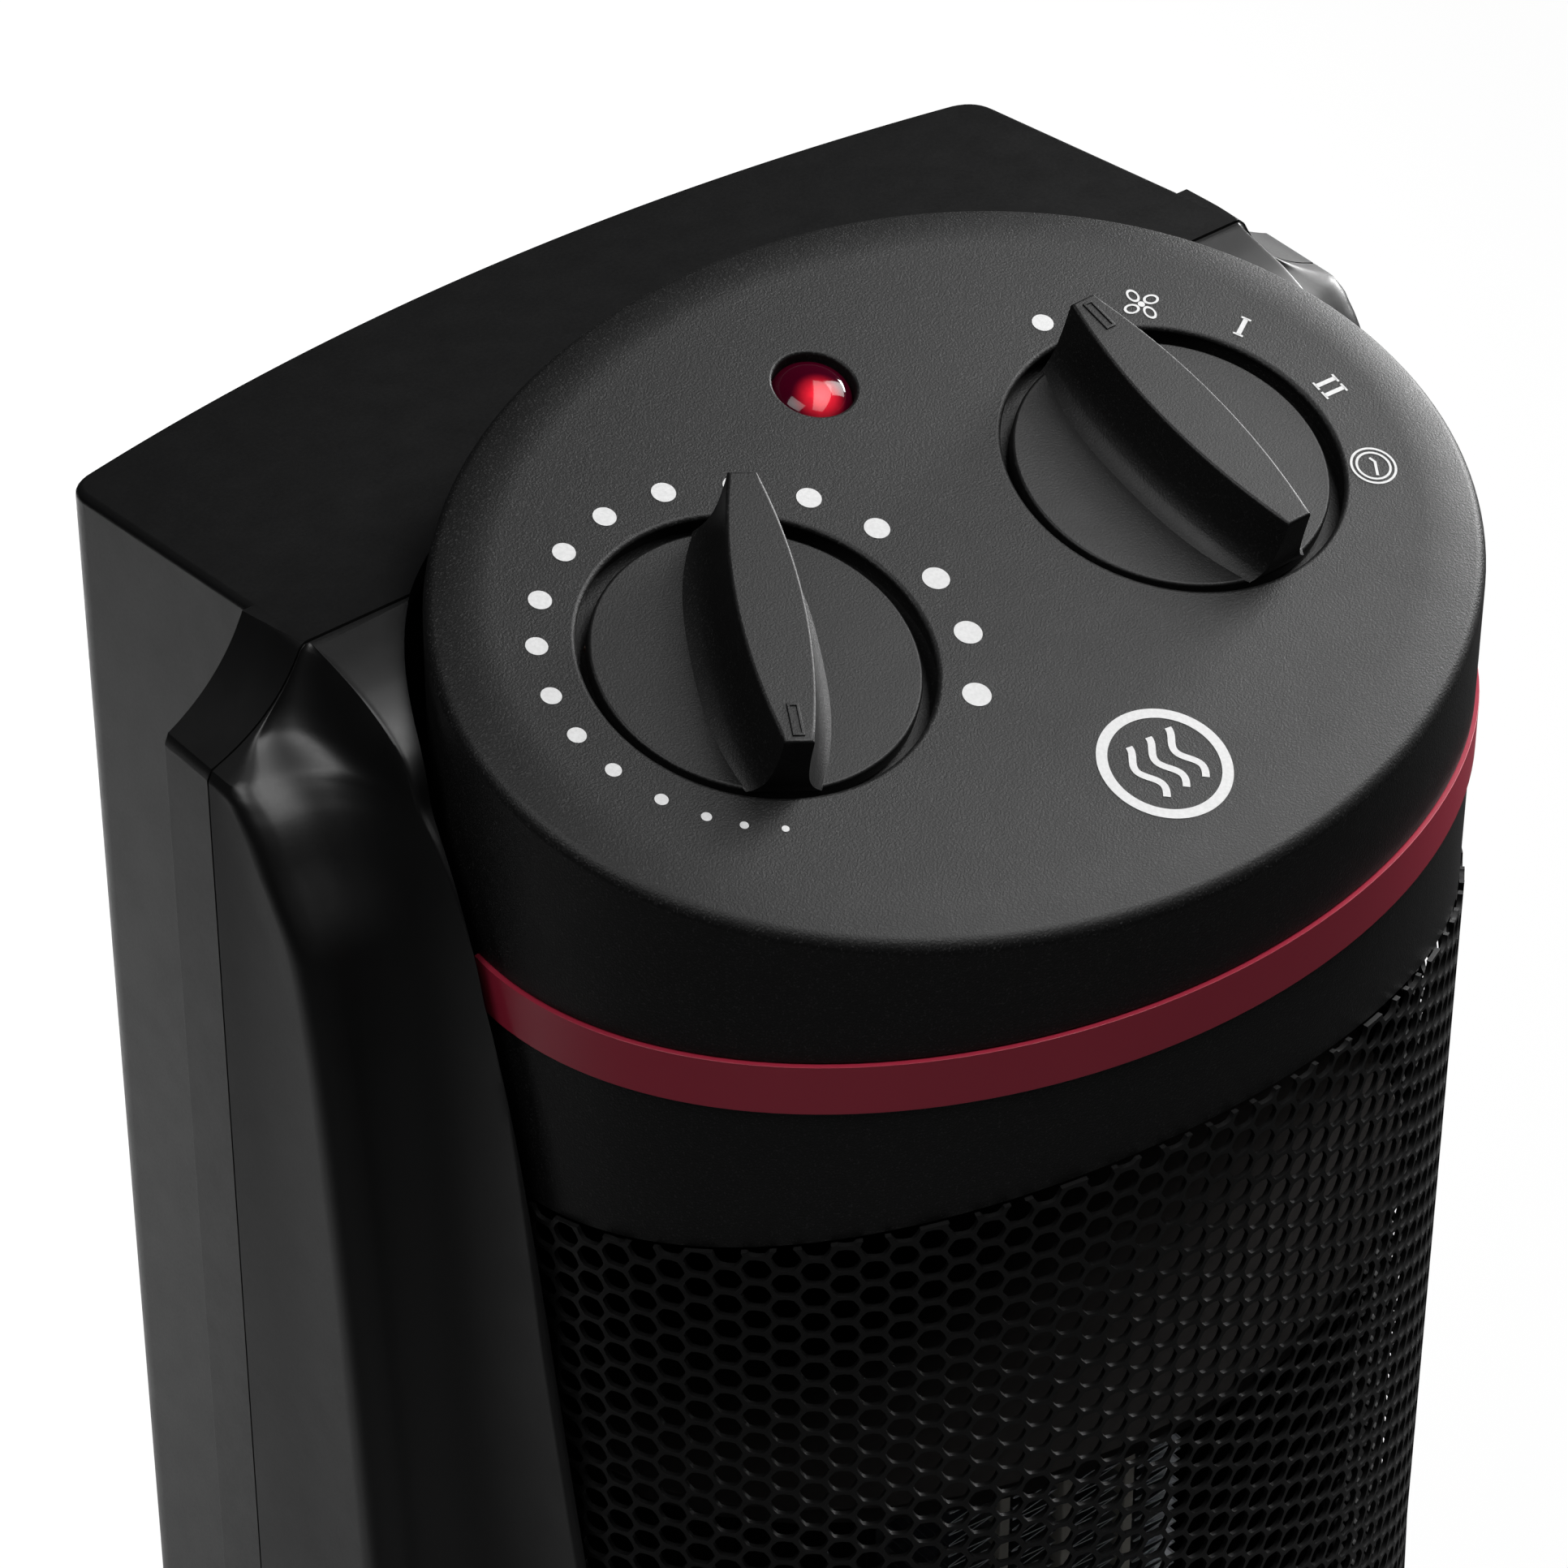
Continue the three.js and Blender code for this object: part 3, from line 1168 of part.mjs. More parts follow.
/** A bearing bracket above or below the stator; side is +1 above and -1 below. */
function motorBracket(side) {
  const face = side > 0 ? stackTop + GAP : stackBottom - GAP;
  const span = (near, far) => [face + side * near, face + side * far].sort((a, b) => a - b);
  const [barLow, barHigh] = span(BRACKET_STANDOFF - BRACKET_THICKNESS, BRACKET_STANDOFF);
  const [legLow, legHigh] = span(0, BRACKET_STANDOFF);
  const [bossLow, bossHigh] = span(
    BRACKET_STANDOFF - 2 * BRACKET_THICKNESS,
    BRACKET_STANDOFF + BRACKET_THICKNESS,
  );
  const leg = (x) => block(
    [x, fanY - BUSH_RADIUS, legLow],
    [x + 2 * BRACKET_THICKNESS, fanY + BUSH_RADIUS, legHigh],
  );
  const body = join(
    block([-POLE_HALF, fanY - BUSH_RADIUS, barLow], [POLE_HALF, fanY + BUSH_RADIUS, barHigh]),
    leg(-POLE_HALF),
    leg(POLE_HALF - 2 * BRACKET_THICKNESS),
    rod(BUSH_RADIUS, bossLow, bossHigh, 0, fanY, false, 20),
  );
  const bore = rod(MOTOR_SHAFT_RADIUS + RUNNING, bossLow - OVERRUN, bossHigh + OVERRUN, 0, fanY, false, 12);
  return cut(body, bore);
}

function motorRotor() {
  const low = stackBottom - BRACKET_STANDOFF - 2 * BRACKET_THICKNESS;
  const high = ductBottom + FAN_END_PLAY + FAN_HUB_LENGTH - FAN_DISC - GAP;
  return join(
    rod(ROTOR_RADIUS, stackBottom, stackTop, 0, fanY, false, 28),
    rod(MOTOR_SHAFT_RADIUS, low, high, 0, fanY, false, 12),
  );
}

// Heating element

const elementPitch = FIN_WIDTH + STRIP_THICKNESS + 2 * GAP;

/** Half of the element's width over its outer fin banks. */
function elementHalfWidth() {
  return (FIN_BANKS / 2) * elementPitch + GAP;
}

function elementCap(side) {
  const half = elementHalfWidth();
  const face = side > 0 ? ductTop - GAP : ductBottom + GAP;
  const [low, high] = [face, face - side * ELEMENT_CAP].sort((a, b) => a - b);
  return block([-half, elementY - GAP, low], [half, elementY + ELEMENT_DEPTH + GAP, high]);
}

function finBank(index) {
  const x = (index - (FIN_BANKS - 1) / 2) * elementPitch;
  const low = ductBottom + ELEMENT_CAP + 2 * GAP;
  const high = ductTop - ELEMENT_CAP - 2 * GAP;
  const half = (FIN_WIDTH - FIN_THICKNESS) / 2;
  const points = Array.from({ length: FIN_FOLDS + 1 }, (_, i) => [
    x + (i % 2 ? half : -half), low + (high - low) * (i / FIN_FOLDS),
  ]);
  return backPrism(zigzag(points, FIN_THICKNESS), elementY, elementY + ELEMENT_DEPTH);
}

/** A zigzag band of even width across, through points in the X and Z plane. */
function zigzag(points, width) {
  const line = (shift) => points.map(([x, z]) => new THREE.Vector2(x + shift, z));
  return new THREE.Shape([...line(width / 2), ...line(-width / 2).reverse()]);
}

function heatStrip(index) {
  const x = (index - (FIN_BANKS - 2) / 2) * elementPitch;
  return block(
    [x - STRIP_THICKNESS / 2, elementY, ductBottom + ELEMENT_CAP + 2 * GAP],
    [x + STRIP_THICKNESS / 2, elementY + ELEMENT_DEPTH, ductTop - ELEMENT_CAP - 2 * GAP],
  );
}

const CUTOUT_RADIUS = 8;
const CUTOUT_LENGTH = 7;
const CUTOUT_DROP = 30;
const TAB = 3;

function thermalCutout() {
  const side = elementHalfWidth() + GAP;
  const z = ductTop - CUTOUT_DROP;
  const y = elementY + ELEMENT_DEPTH - CUTOUT_LENGTH;
  return join(
    rod(CUTOUT_RADIUS, y, y + CUTOUT_LENGTH, side + CUTOUT_RADIUS, z, true),
    block([side, y - TAB, z], [side + 2 * TAB, y + GAP, ductTop - 2 * GAP]),
  );
}

function flangeScrew([x, z]) {
  const headBottom = flangeRearY - WALL + GAP;
  return join(
    rod(SCREW_HEAD, headBottom, flangeRearY - GAP, x, z, true, 10),
    rod(SCREW_RADIUS, seamY - FLANGE_SCREW_LENGTH + OVERRUN, headBottom + GAP, x, z, true, 10),
  );
}

// Assembly

function plateGroup() {
  const head = new THREE.Group();
  head.position.set(0, columnY, PANEL_HEIGHT);
  head.rotation.x = PLATE_TILT;
  const half = KNOB_SPACING / 2;
  const controls = [
    ['thermostat', -half, THERMOSTAT_REST, thermostatBody],
    ['selector', half, SELECTOR_REST, selectorSwitch],
  ];
  for (const [name, x, rest, body] of controls) {
    const station = new THREE.Group();
    station.position.set(x, -KNOB_AHEAD, 0);
    const grip = piece(`${name}_knob`, knob(), FINISHES.knob);
    const shaft = piece(`${name}_shaft`, knobShaft(), FINISHES.brass);
    grip.rotation.z = rest;
    shaft.rotation.z = rest;
    station.add(grip, shaft, piece(`${name}_body`, body(), FINISHES.phenolic));
    head.add(station);
  }
  const lamp = new THREE.Group();
  lamp.position.set(0, LENS_BEHIND, 0);
  lamp.add(piece('pilot_lens', pilotLens(), FINISHES.lens));
  lamp.add(piece('pilot_lamp_holder', lampHolder(), FINISHES.whitePlastic));
  head.add(lamp);
  return head;
}

function housingPieces() {
  return [
    piece('rear_shell', rearShell(), FINISHES.housing),
    piece('front_shell', frontShell(), FINISHES.housing),
    piece('intake_grille', intakeGrille(), FINISHES.housing),
    piece('dust_filter', dustFilter(), FINISHES.foam),
    piece('control_cap', controlCap(), FINISHES.cap),
    piece('accent_stripe', accentStripe(), FINISHES.stripe),
    piece('grille_collar', grilleCollar(), FINISHES.cap),
    piece('front_grille', frontGrille(), FINISHES.grille),
    piece('tower_floor', towerFloor(), FINISHES.housing),
    ...housingScrewPlaces().map((place, i) => (
      piece(`flange_screw_${i + 1}`, flangeScrew(place), FINISHES.steel)
    )),
  ];
}

function basePieces() {
  return [
    piece('base_cover', baseCover(), FINISHES.housing),
    piece('base_plate', basePlate(), FINISHES.housing),
    ...around(FOOT_CIRCLE).map((place, i) => piece(`foot_${i + 1}`, foot(place), FINISHES.rubber)),
    ...around(SCREW_CIRCLE).map((place, i) => (
      piece(`base_screw_${i + 1}`, baseScrew(place), FINISHES.steel)
    )),
    piece('swivel_bearing', swivelBearing(), FINISHES.whitePlastic),
    piece('swivel_motor', swivelMotor(), FINISHES.steel),
    piece('swivel_crank', swivelCrank(), FINISHES.whitePlastic),
    piece('swivel_yoke', swivelYoke(), FINISHES.steel),
    piece('cord_gland', cordGland(), FINISHES.rubber),
    piece('tip_switch_body', tipSwitchBody(), FINISHES.phenolic),
    piece('tip_plunger', tipPlunger(), FINISHES.whitePlastic),
  ];
}

function airPieces() {
  return [
    piece(
      'duct_floor',
      ductPlate(ductBottom - DUCT_PLATE, MOTOR_SHAFT_RADIUS + NECK_CLEARANCE),
      FINISHES.aluminium,
    ),
    piece('duct_ceiling', ductPlate(ductTop, BUSH_RADIUS + GAP), FINISHES.aluminium),
    piece('fan_scroll', ductWall(ductPoints(1, SCROLL_SHARES)), FINISHES.aluminium),
    piece('fan_tongue', ductWall(ductPoints(-1, TONGUE_SHARES)), FINISHES.aluminium),
    piece('fan_wheel', fanWheel(), FINISHES.aluminium),
    piece('fan_top_bush', topBush(), FINISHES.rubber),
    piece('motor_stator', motorStator(), FINISHES.lamination),
    piece('motor_coil', motorCoil(), FINISHES.copper),
    piece('motor_bracket_lower', motorBracket(-1), FINISHES.steel),
    piece('motor_bracket_upper', motorBracket(1), FINISHES.steel),
    piece('motor_rotor', motorRotor(), FINISHES.steel),
  ];
}

function elementPieces() {
  const banks = Array.from({ length: FIN_BANKS }, (_, i) => (
    piece(`fin_bank_${i + 1}`, finBank(i), FINISHES.aluminium)
  ));
  const strips = Array.from({ length: FIN_BANKS - 1 }, (_, i) => (
    piece(`heat_strip_${i + 1}`, heatStrip(i), FINISHES.ceramic)
  ));
  return [
    ...banks,
    ...strips,
    piece('element_cap_lower', elementCap(-1), FINISHES.phenolic),
    piece('element_cap_upper', elementCap(1), FINISHES.phenolic),
    piece('thermal_cutout', thermalCutout(), FINISHES.steel),
  ];
}

const heater = new THREE.Group();
heater.name = 'fan_heater';
heater.add(...basePieces(), ...housingPieces(), ...airPieces(), ...elementPieces(), plateGroup());

export default heater;
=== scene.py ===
"""Looks of the tower fan heater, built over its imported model."""

import json
import logging
import math
from collections.abc import Callable, Iterable, Sequence
from dataclasses import dataclass, field
from enum import Enum

import bmesh
import bpy
from mathutils import Matrix, Vector


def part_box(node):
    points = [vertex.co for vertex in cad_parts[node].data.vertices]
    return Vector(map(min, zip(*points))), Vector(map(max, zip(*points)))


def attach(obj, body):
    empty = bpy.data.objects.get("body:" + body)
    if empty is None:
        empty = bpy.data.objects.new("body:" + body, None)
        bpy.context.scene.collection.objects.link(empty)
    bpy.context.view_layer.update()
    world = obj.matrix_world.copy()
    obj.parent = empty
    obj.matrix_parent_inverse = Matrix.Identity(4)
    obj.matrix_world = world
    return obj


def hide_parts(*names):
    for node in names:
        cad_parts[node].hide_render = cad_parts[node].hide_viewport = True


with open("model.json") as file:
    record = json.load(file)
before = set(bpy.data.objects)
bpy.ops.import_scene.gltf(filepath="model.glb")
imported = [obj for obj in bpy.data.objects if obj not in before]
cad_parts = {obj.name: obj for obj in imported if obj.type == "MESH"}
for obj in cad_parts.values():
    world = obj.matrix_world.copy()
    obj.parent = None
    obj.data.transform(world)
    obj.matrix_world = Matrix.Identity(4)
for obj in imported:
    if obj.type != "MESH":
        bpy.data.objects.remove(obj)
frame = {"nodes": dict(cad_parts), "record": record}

LOG = logging.getLogger("heater")
MM = 0.001

Point = tuple[float, float, float]
Colour = tuple[float, float, float]


class Body(Enum):
    """The moving bodies that pieces ride on."""

    BASE = "base"
    TOWER = "tower"
    THERMOSTAT = "thermostat"
    SELECTOR = "selector"


class Cut(Enum):
    """How one workpiece meets another."""

    TAKE = "DIFFERENCE"
    ADD = "UNION"
    KEEP = "INTERSECT"


# Shader helpers


class Signal:
    """A shader number that takes part in Python arithmetic."""

    def __init__(self, paint: "Paint", socket: bpy.types.NodeSocket) -> None:
        """Wrap a socket of one paint's node tree."""
        self.paint = paint
        self.socket = socket

    def _with(self, operation: str, first: object, second: object) -> "Signal":
        """Return the result of a two-value Math node."""
        return Signal(self.paint, self.paint.node("ShaderNodeMath", {"operation": operation}, {0: first, 1: second}))

    def __add__(self, other: object) -> "Signal":
        """Return self + other."""
        return self._with("ADD", self, other)

    def __radd__(self, other: object) -> "Signal":
        """Return other + self."""
        return self._with("ADD", other, self)

    def __sub__(self, other: object) -> "Signal":
        """Return self - other."""
        return self._with("SUBTRACT", self, other)

    def __rsub__(self, other: object) -> "Signal":
        """Return other - self."""
        return self._with("SUBTRACT", other, self)

    def __mul__(self, other: object) -> "Signal":
        """Return self * other."""
        return self._with("MULTIPLY", self, other)

    def __rmul__(self, other: object) -> "Signal":
        """Return other * self."""
        return self._with("MULTIPLY", other, self)

    def __truediv__(self, other: object) -> "Signal":
        """Return self / other."""
        return self._with("DIVIDE", self, other)

    def __rtruediv__(self, other: object) -> "Signal":
        """Return other / self."""
        return self._with("DIVIDE", other, self)

    def ramp(self, low: float, high: float) -> "Signal":
        """Return the value eased from 0 at low to 1 at high."""
        settings = {"interpolation_type": "SMOOTHSTEP"}
        return Signal(self.paint, self.paint.node("ShaderNodeMapRange", settings, {0: self, 1: low, 2: high}))


class Paint:
    """One material in the making, with its node tree."""

    def __init__(self, name: str) -> None:
        """Start an empty material of a name."""
        self.material = bpy.data.materials.new(name)
        self.material.use_nodes = True
        self.tree = self.material.node_tree
        self.tree.nodes.clear()

    def node(self, kind: str, settings: dict | None = None, inputs: dict | None = None,
             output: int | str = 0) -> bpy.types.NodeSocket:
        """Add one node and give its output.

        Args:
            kind: The node's Blender type.
            settings: Its properties.
            inputs: Values or links of its sockets.
            output: Name or number of the output wanted.

        Returns:
            The output socket.
        """
        made = self.tree.nodes.new(kind)
        for key, value in (settings or {}).items():
            setattr(made, key, value)
        for key, value in (inputs or {}).items():
            self.feed(made.inputs[key], value)
        return made.outputs[output]

    def feed(self, socket: bpy.types.NodeSocket, value: object) -> None:
        """Link or set one input.

        Args:
            socket: The input.
            value: A signal, a socket or a plain value.
        """
        if isinstance(value, Signal):
            value = value.socket
        if isinstance(value, bpy.types.NodeSocket):
            self.tree.links.new(value, socket)
        else:
            socket.default_value = value

    def place(self, turn: Point = (0.0, 0.0, 0.0), stretch: Point = (1.0, 1.0, 1.0)) -> bpy.types.NodeSocket:
        """Give object coordinates, turned and stretched.

        Args:
            turn: Turns about the axes in radians.
            stretch: Factors along the axes.

        Returns:
            The mapped vector.
        """
        spot = self.node("ShaderNodeTexCoord", output="Object")
        return self.node("ShaderNodeMapping", None, {"Vector": spot, "Rotation": turn, "Scale": stretch})

    def noise(self, spot: bpy.types.NodeSocket, size: float, detail: float = 2.0, rough: float = 0.5) -> Signal:
        """Give cloudy noise.

        Args:
            spot: Where it is read.
            size: Size of its clouds in millimetres.
            detail: Octaves of finer noise.
            rough: How strong the finer octaves are.

        Returns:
            The noise between 0 and 1.
        """
        inputs = {"Vector": spot, "Scale": 1 / (size * MM), "Detail": detail, "Roughness": rough}
        return Signal(self, self.node("ShaderNodeTexNoise", None, inputs))

    def blend(self, mask: object, first: object, second: object) -> bpy.types.NodeSocket:
        """Give a mix of two colours by a mask.

        Args:
            mask: Share of the second colour.
            first: Colour where the mask is 0.
            second: Colour where the mask is 1.

        Returns:
            The mixed colour.
        """
        pair = [(*c, 1.0) if isinstance(c, tuple) and len(c) == 3 else c for c in (first, second)]
        return self.node("ShaderNodeMix", {"data_type": "RGBA"}, {0: mask, 6: pair[0], 7: pair[1]}, 2)

    def bump(self, height: Signal, depth: float, under: object = None) -> bpy.types.NodeSocket:
        """Give a normal raised by a height.

        Args:
            height: The relief between 0 and 1.
            depth: Its full depth in millimetres.
            under: A normal that lies under it.

        Returns:
            The normal.
        """
        inputs = {"Height": height, "Distance": depth * MM, "Strength": 1.0}
        if under is not None:
            inputs["Normal"] = under
        return self.node("ShaderNodeBump", None, inputs)

    def finish(self, **inputs: object) -> bpy.types.Material:
        """Close the material with a principled shader.

        Args:
            **inputs: Sockets of the shader, with underscores for spaces.

        Returns:
            The material.
        """
        named = {key.replace("_", " "): value for key, value in inputs.items()}
        shader = self.node("ShaderNodeBsdfPrincipled", None, named)
        return self.close(shader)

    def close(self, shader: bpy.types.NodeSocket) -> bpy.types.Material:
        """Link a shader to the material's output and return the material."""
        out = self.tree.nodes.new("ShaderNodeOutputMaterial")
        self.tree.links.new(shader, out.inputs["Surface"])
        return self.material


def grey(level: float) -> Colour:
    """Return the linear colour of a screen grey from 0 to 255."""
    share = level / 255
    return (share / 12.92 if share < 0.04045 else ((share + 0.055) / 1.055) ** 2.4,) * 3


def screen(red: float, green: float, blue: float) -> Colour:
    """Return the linear colour of screen values from 0 to 255."""
    return (grey(red)[0], grey(green)[0], grey(blue)[0])


# Finishes


@dataclass(frozen=True)
class Moulded:
    """Injection moulded plastic with the fine texture of its mould."""

    name: str
    colour: Colour
    roughness: float
    specular: float = 0.5
    grain: float = 0.35
    relief: float = 0.012
    fleck_and_sparkle: Colour | None = None
    mottle: float = 0.12

    def material(self) -> bpy.types.Material:
        """Build the material.

        Returns:
            Plastic with cloudy shade, mould grain and flecks; on the cap and knobs the flecks are painted sparkle,
            glints of light put into the colour.
        """
        paint = Paint(self.name)
        spot = paint.place()
        cloud = paint.noise(spot, 38.0, 3.0)
        grain = paint.noise(spot, self.grain, 2.0, 0.6)
        swirl = paint.noise(spot, 6.0, 2.0)
        light = tuple(c * (1 + self.mottle) for c in self.colour)
        dark = tuple(c * (1 - self.mottle) for c in self.colour)
        base = paint.blend(cloud, dark, light)
        # Light flecks where the grain noise is high: for the cap and knobs this is painted sparkle, glints of light on
        # the fine grain put into the colour; for phenolic they are the filler's own flecks.
        if self.fleck_and_sparkle is not None:
            base = paint.blend(grain.ramp(0.56, 0.74), base, self.fleck_and_sparkle)
        rough = self.roughness + (swirl - 0.5) * 0.08 + (grain - 0.5) * 0.1
        relief = paint.bump(grain, self.relief)
        return paint.finish(Base_Color=base, Roughness=rough, Specular_IOR_Level=self.specular, Normal=relief)


@dataclass(frozen=True)
class Metal:
    """Sheet or turned metal with the streaks of its making."""

    name: str
    colour: Colour
    roughness: float
    streak: Point = (1.0, 1.0, 12.0)
    tarnish: Colour = (0.12, 0.1, 0.08)

    def material(self) -> bpy.types.Material:
        """Build the material.

        Returns:
            Metal with streaks and a little tarnish.
        """
        paint = Paint(self.name)
        spot = paint.place(stretch=self.streak)
        streaks = paint.noise(spot, 3.0, 4.0, 0.7)
        cloud = paint.noise(paint.place(), 9.0, 4.0, 0.6)
        dull = cloud.ramp(0.5, 0.8) * 0.35
        base = paint.blend(dull, self.colour, self.tarnish)
        rough = self.roughness + (streaks - 0.5) * 0.25 + dull * 0.3
        return paint.finish(
            Base_Color=base, Roughness=rough, Metallic=1.0, Normal=paint.bump(streaks, 0.01),
        )


@dataclass(frozen=True)
class Matt:
    """Rubber, foam, ceramic or any other dull stuff with a coarse skin."""

    name: str
    colour: Colour
    roughness: float
    pore: float
    relief: float
    patch: Colour

    def material(self) -> bpy.types.Material:
        """Build the material.

        Returns:
            Dull stuff with pores and patches.
        """
        paint = Paint(self.name)
        spot = paint.place()
        pores = Signal(paint, paint.node(
            "ShaderNodeTexVoronoi", {"feature": "F1"}, {"Vector": spot, "Scale": 1 / (self.pore * MM)},
        ))
        cloud = paint.noise(spot, 12.0, 3.0)
        base = paint.blend(cloud.ramp(0.35, 0.75) * 0.6, self.colour, self.patch)
        rough = self.roughness + (cloud - 0.5) * 0.1
        return paint.finish(Base_Color=base, Roughness=rough, Normal=paint.bump(pores, self.relief))


@dataclass(frozen=True)
class Winding:
    """Enamelled copper wire wound in layers."""

    name: str
    wire: float = 0.5

    def material(self) -> bpy.types.Material:
        """Build the material.

        Returns:
            Copper with a turn of wire at each step, darker towards the groove between turns as painted shade.
        """
        paint = Paint(self.name)
        inputs = {"Vector": paint.place(turn=(0.0, math.pi / 2, 0.0)), "Scale": 0.16 / (self.wire * MM),
                  "Distortion": 0.3}
        turns = Signal(paint, paint.node("ShaderNodeTexWave", {"bands_direction": "Z"}, inputs, "Fac"))
        # Painted shade: the copper darkens towards the groove between each two turns.
        base = paint.blend(turns, screen(96, 40, 18), screen(190, 104, 52))
        return paint.finish(
            Base_Color=base, Roughness=0.42 - turns * 0.12, Metallic=0.7, Normal=paint.bump(turns, 0.15),
        )


@dataclass(frozen=True)
class Laminated:
    """Stacked steel sheets seen on edge."""

    name: str
    sheet: float = 0.5

    def material(self) -> bpy.types.Material:
        """Build the material.

        Returns:
            Steel with a dark line between sheets.
        """
        paint = Paint(self.name)
        inputs = {"Vector": paint.place(), "Scale": 0.16 / (self.sheet * MM), "Distortion": 0.05}
        lines = Signal(paint, paint.node("ShaderNodeTexWave", {"bands_direction": "Z"}, inputs, "Fac"))
        rust = paint.noise(paint.place(), 5.0, 4.0, 0.7).ramp(0.55, 0.8)
        steel = paint.blend(lines, screen(60, 60, 64), screen(128, 130, 134))
        base = paint.blend(rust * 0.5, steel, screen(92, 70, 54))
        return paint.finish(
            Base_Color=base, Roughness=0.5 + rust * 0.2, Metallic=0.9, Normal=paint.bump(lines, 0.08),
        )


@dataclass(frozen=True)
class Glow:
    """Clear red plastic over a lit lamp."""

    name: str
    centre: Point
    reach: float

    def material(self) -> bpy.types.Material:
        """Build the material.

        Returns:
            Dark red plastic that glows towards its lower middle.
        """
        paint = Paint(self.name)
        spot = paint.node("ShaderNodeTexCoord", output="Object")
        away = paint.node(
            "ShaderNodeVectorMath", {"operation": "DISTANCE"}, {0: spot, 1: tuple(c * MM for c in self.centre)},
            "Value",
        )
        near = 1 - Signal(paint, away).ramp(0.05 * self.reach * MM, 0.85 * self.reach * MM)
        ripple = paint.noise(spot, 0.9, 1.0)
        lit = paint.blend(near * (0.75 + ripple * 0.5), (0.012, 0.0, 0.002), (0.7, 0.022, 0.035))
        base = paint.blend(near, (0.02, 0.0, 0.003), (0.3, 0.0, 0.01))
        return paint.finish(
            Base_Color=base, Roughness=0.06 + ripple * 0.04, Emission_Color=lit, Emission_Strength=1.0,
            Specular_IOR_Level=0.25, Coat_Weight=0.12, Coat_Roughness=0.03,
        )


@dataclass(frozen=True)
class Printed:
    """White screen print on plastic."""

    name: str
    colour: Colour

    def material(self) -> bpy.types.Material:
        """Build the material.

        Returns:
            Ink that lets a little of the plastic through.
        """
        paint = Paint(self.name)
        spot = paint.place()
        thin = paint.noise(spot, 0.5, 2.0).ramp(0.3, 0.7)
        base = paint.blend(thin, tuple(c * 0.88 for c in self.colour), self.colour)
        return paint.finish(
            Base_Color=base, Roughness=0.55 + thin * 0.1, Normal=paint.bump(paint.noise(spot, 0.35), 0.01),
        )


FINISHES = {
    "housing_plastic": Moulded("housing", grey(10), 0.4, 0.47, 0.5, 0.006),
    # The cap's light flecks are painted sparkle.
    "cap_plastic": Moulded("cap", grey(10), 0.48, 0.28, 0.3, 0.07, grey(46)),
    "stripe_plastic": Moulded("stripe", screen(152, 38, 58), 0.34, 0.6, 0.4, 0.003),
    # The knobs' light flecks are painted sparkle.
    "knob_plastic": Moulded("knob", grey(10), 0.45, 0.28, 0.3, 0.04, grey(34)),
    "grille_paint": Moulded("grille", grey(9), 0.48, 0.3, 0.25, 0.01),
    "white_plastic": Moulded("nylon", screen(214, 210, 200), 0.5, 0.4, 0.6, 0.01),
    "phenolic": Moulded("phenolic", screen(52, 36, 26), 0.5, 0.4, 0.5, 0.02, screen(92, 70, 50)),
    "steel": Metal("steel", screen(176, 180, 184), 0.34),
    "aluminium": Metal("aluminium", screen(196, 199, 204), 0.36, (1.0, 12.0, 1.0), screen(120, 120, 122)),
    "brass": Metal("brass", screen(206, 168, 96), 0.3, (1.0, 1.0, 8.0), screen(110, 84, 44)),
    # Painted shade: the duct sheets sit in the shade inside the column, and this dark grey stands for that shade in
    # place of their own metal colour; the streaks and patches are their own texture.
    "painted_shade_sheet": Metal("painted shade sheet", screen(46, 44, 43), 0.6, (1.0, 12.0, 1.0), screen(30, 29, 28)),
    "lamination": Laminated("lamination"),
    "coil": Winding("coil"),
    "ceramic": Matt("ceramic", screen(226, 222, 210), 0.7, 0.4, 0.02, screen(204, 196, 178)),
    "rubber": Matt("rubber", grey(26), 0.85, 0.5, 0.05, grey(38)),
    "foam": Matt("foam", grey(44), 0.95, 0.8, 0.5, grey(30)),
    "print": Printed("print", grey(190)),
    "lens_plastic": Glow("lens", (-0.8, 8.6, 391.8), 5.0),
}


class Palette:
    """Makes each finish's material once and hands it out."""

    def __init__(self) -> None:
        """Start with no material made."""
        self.made: dict[str, bpy.types.Material] = {}

    def material(self, slot: str) -> bpy.types.Material:
        """Give a slot's material.

        Args:
            slot: Name of the record's material slot.

        Returns:
            Its material, made on first use.
        """
        if slot not in self.made:
            self.made[slot] = FINISHES[slot].material()
        return self.made[slot]


PALETTE = Palette()


# Mesh helpers


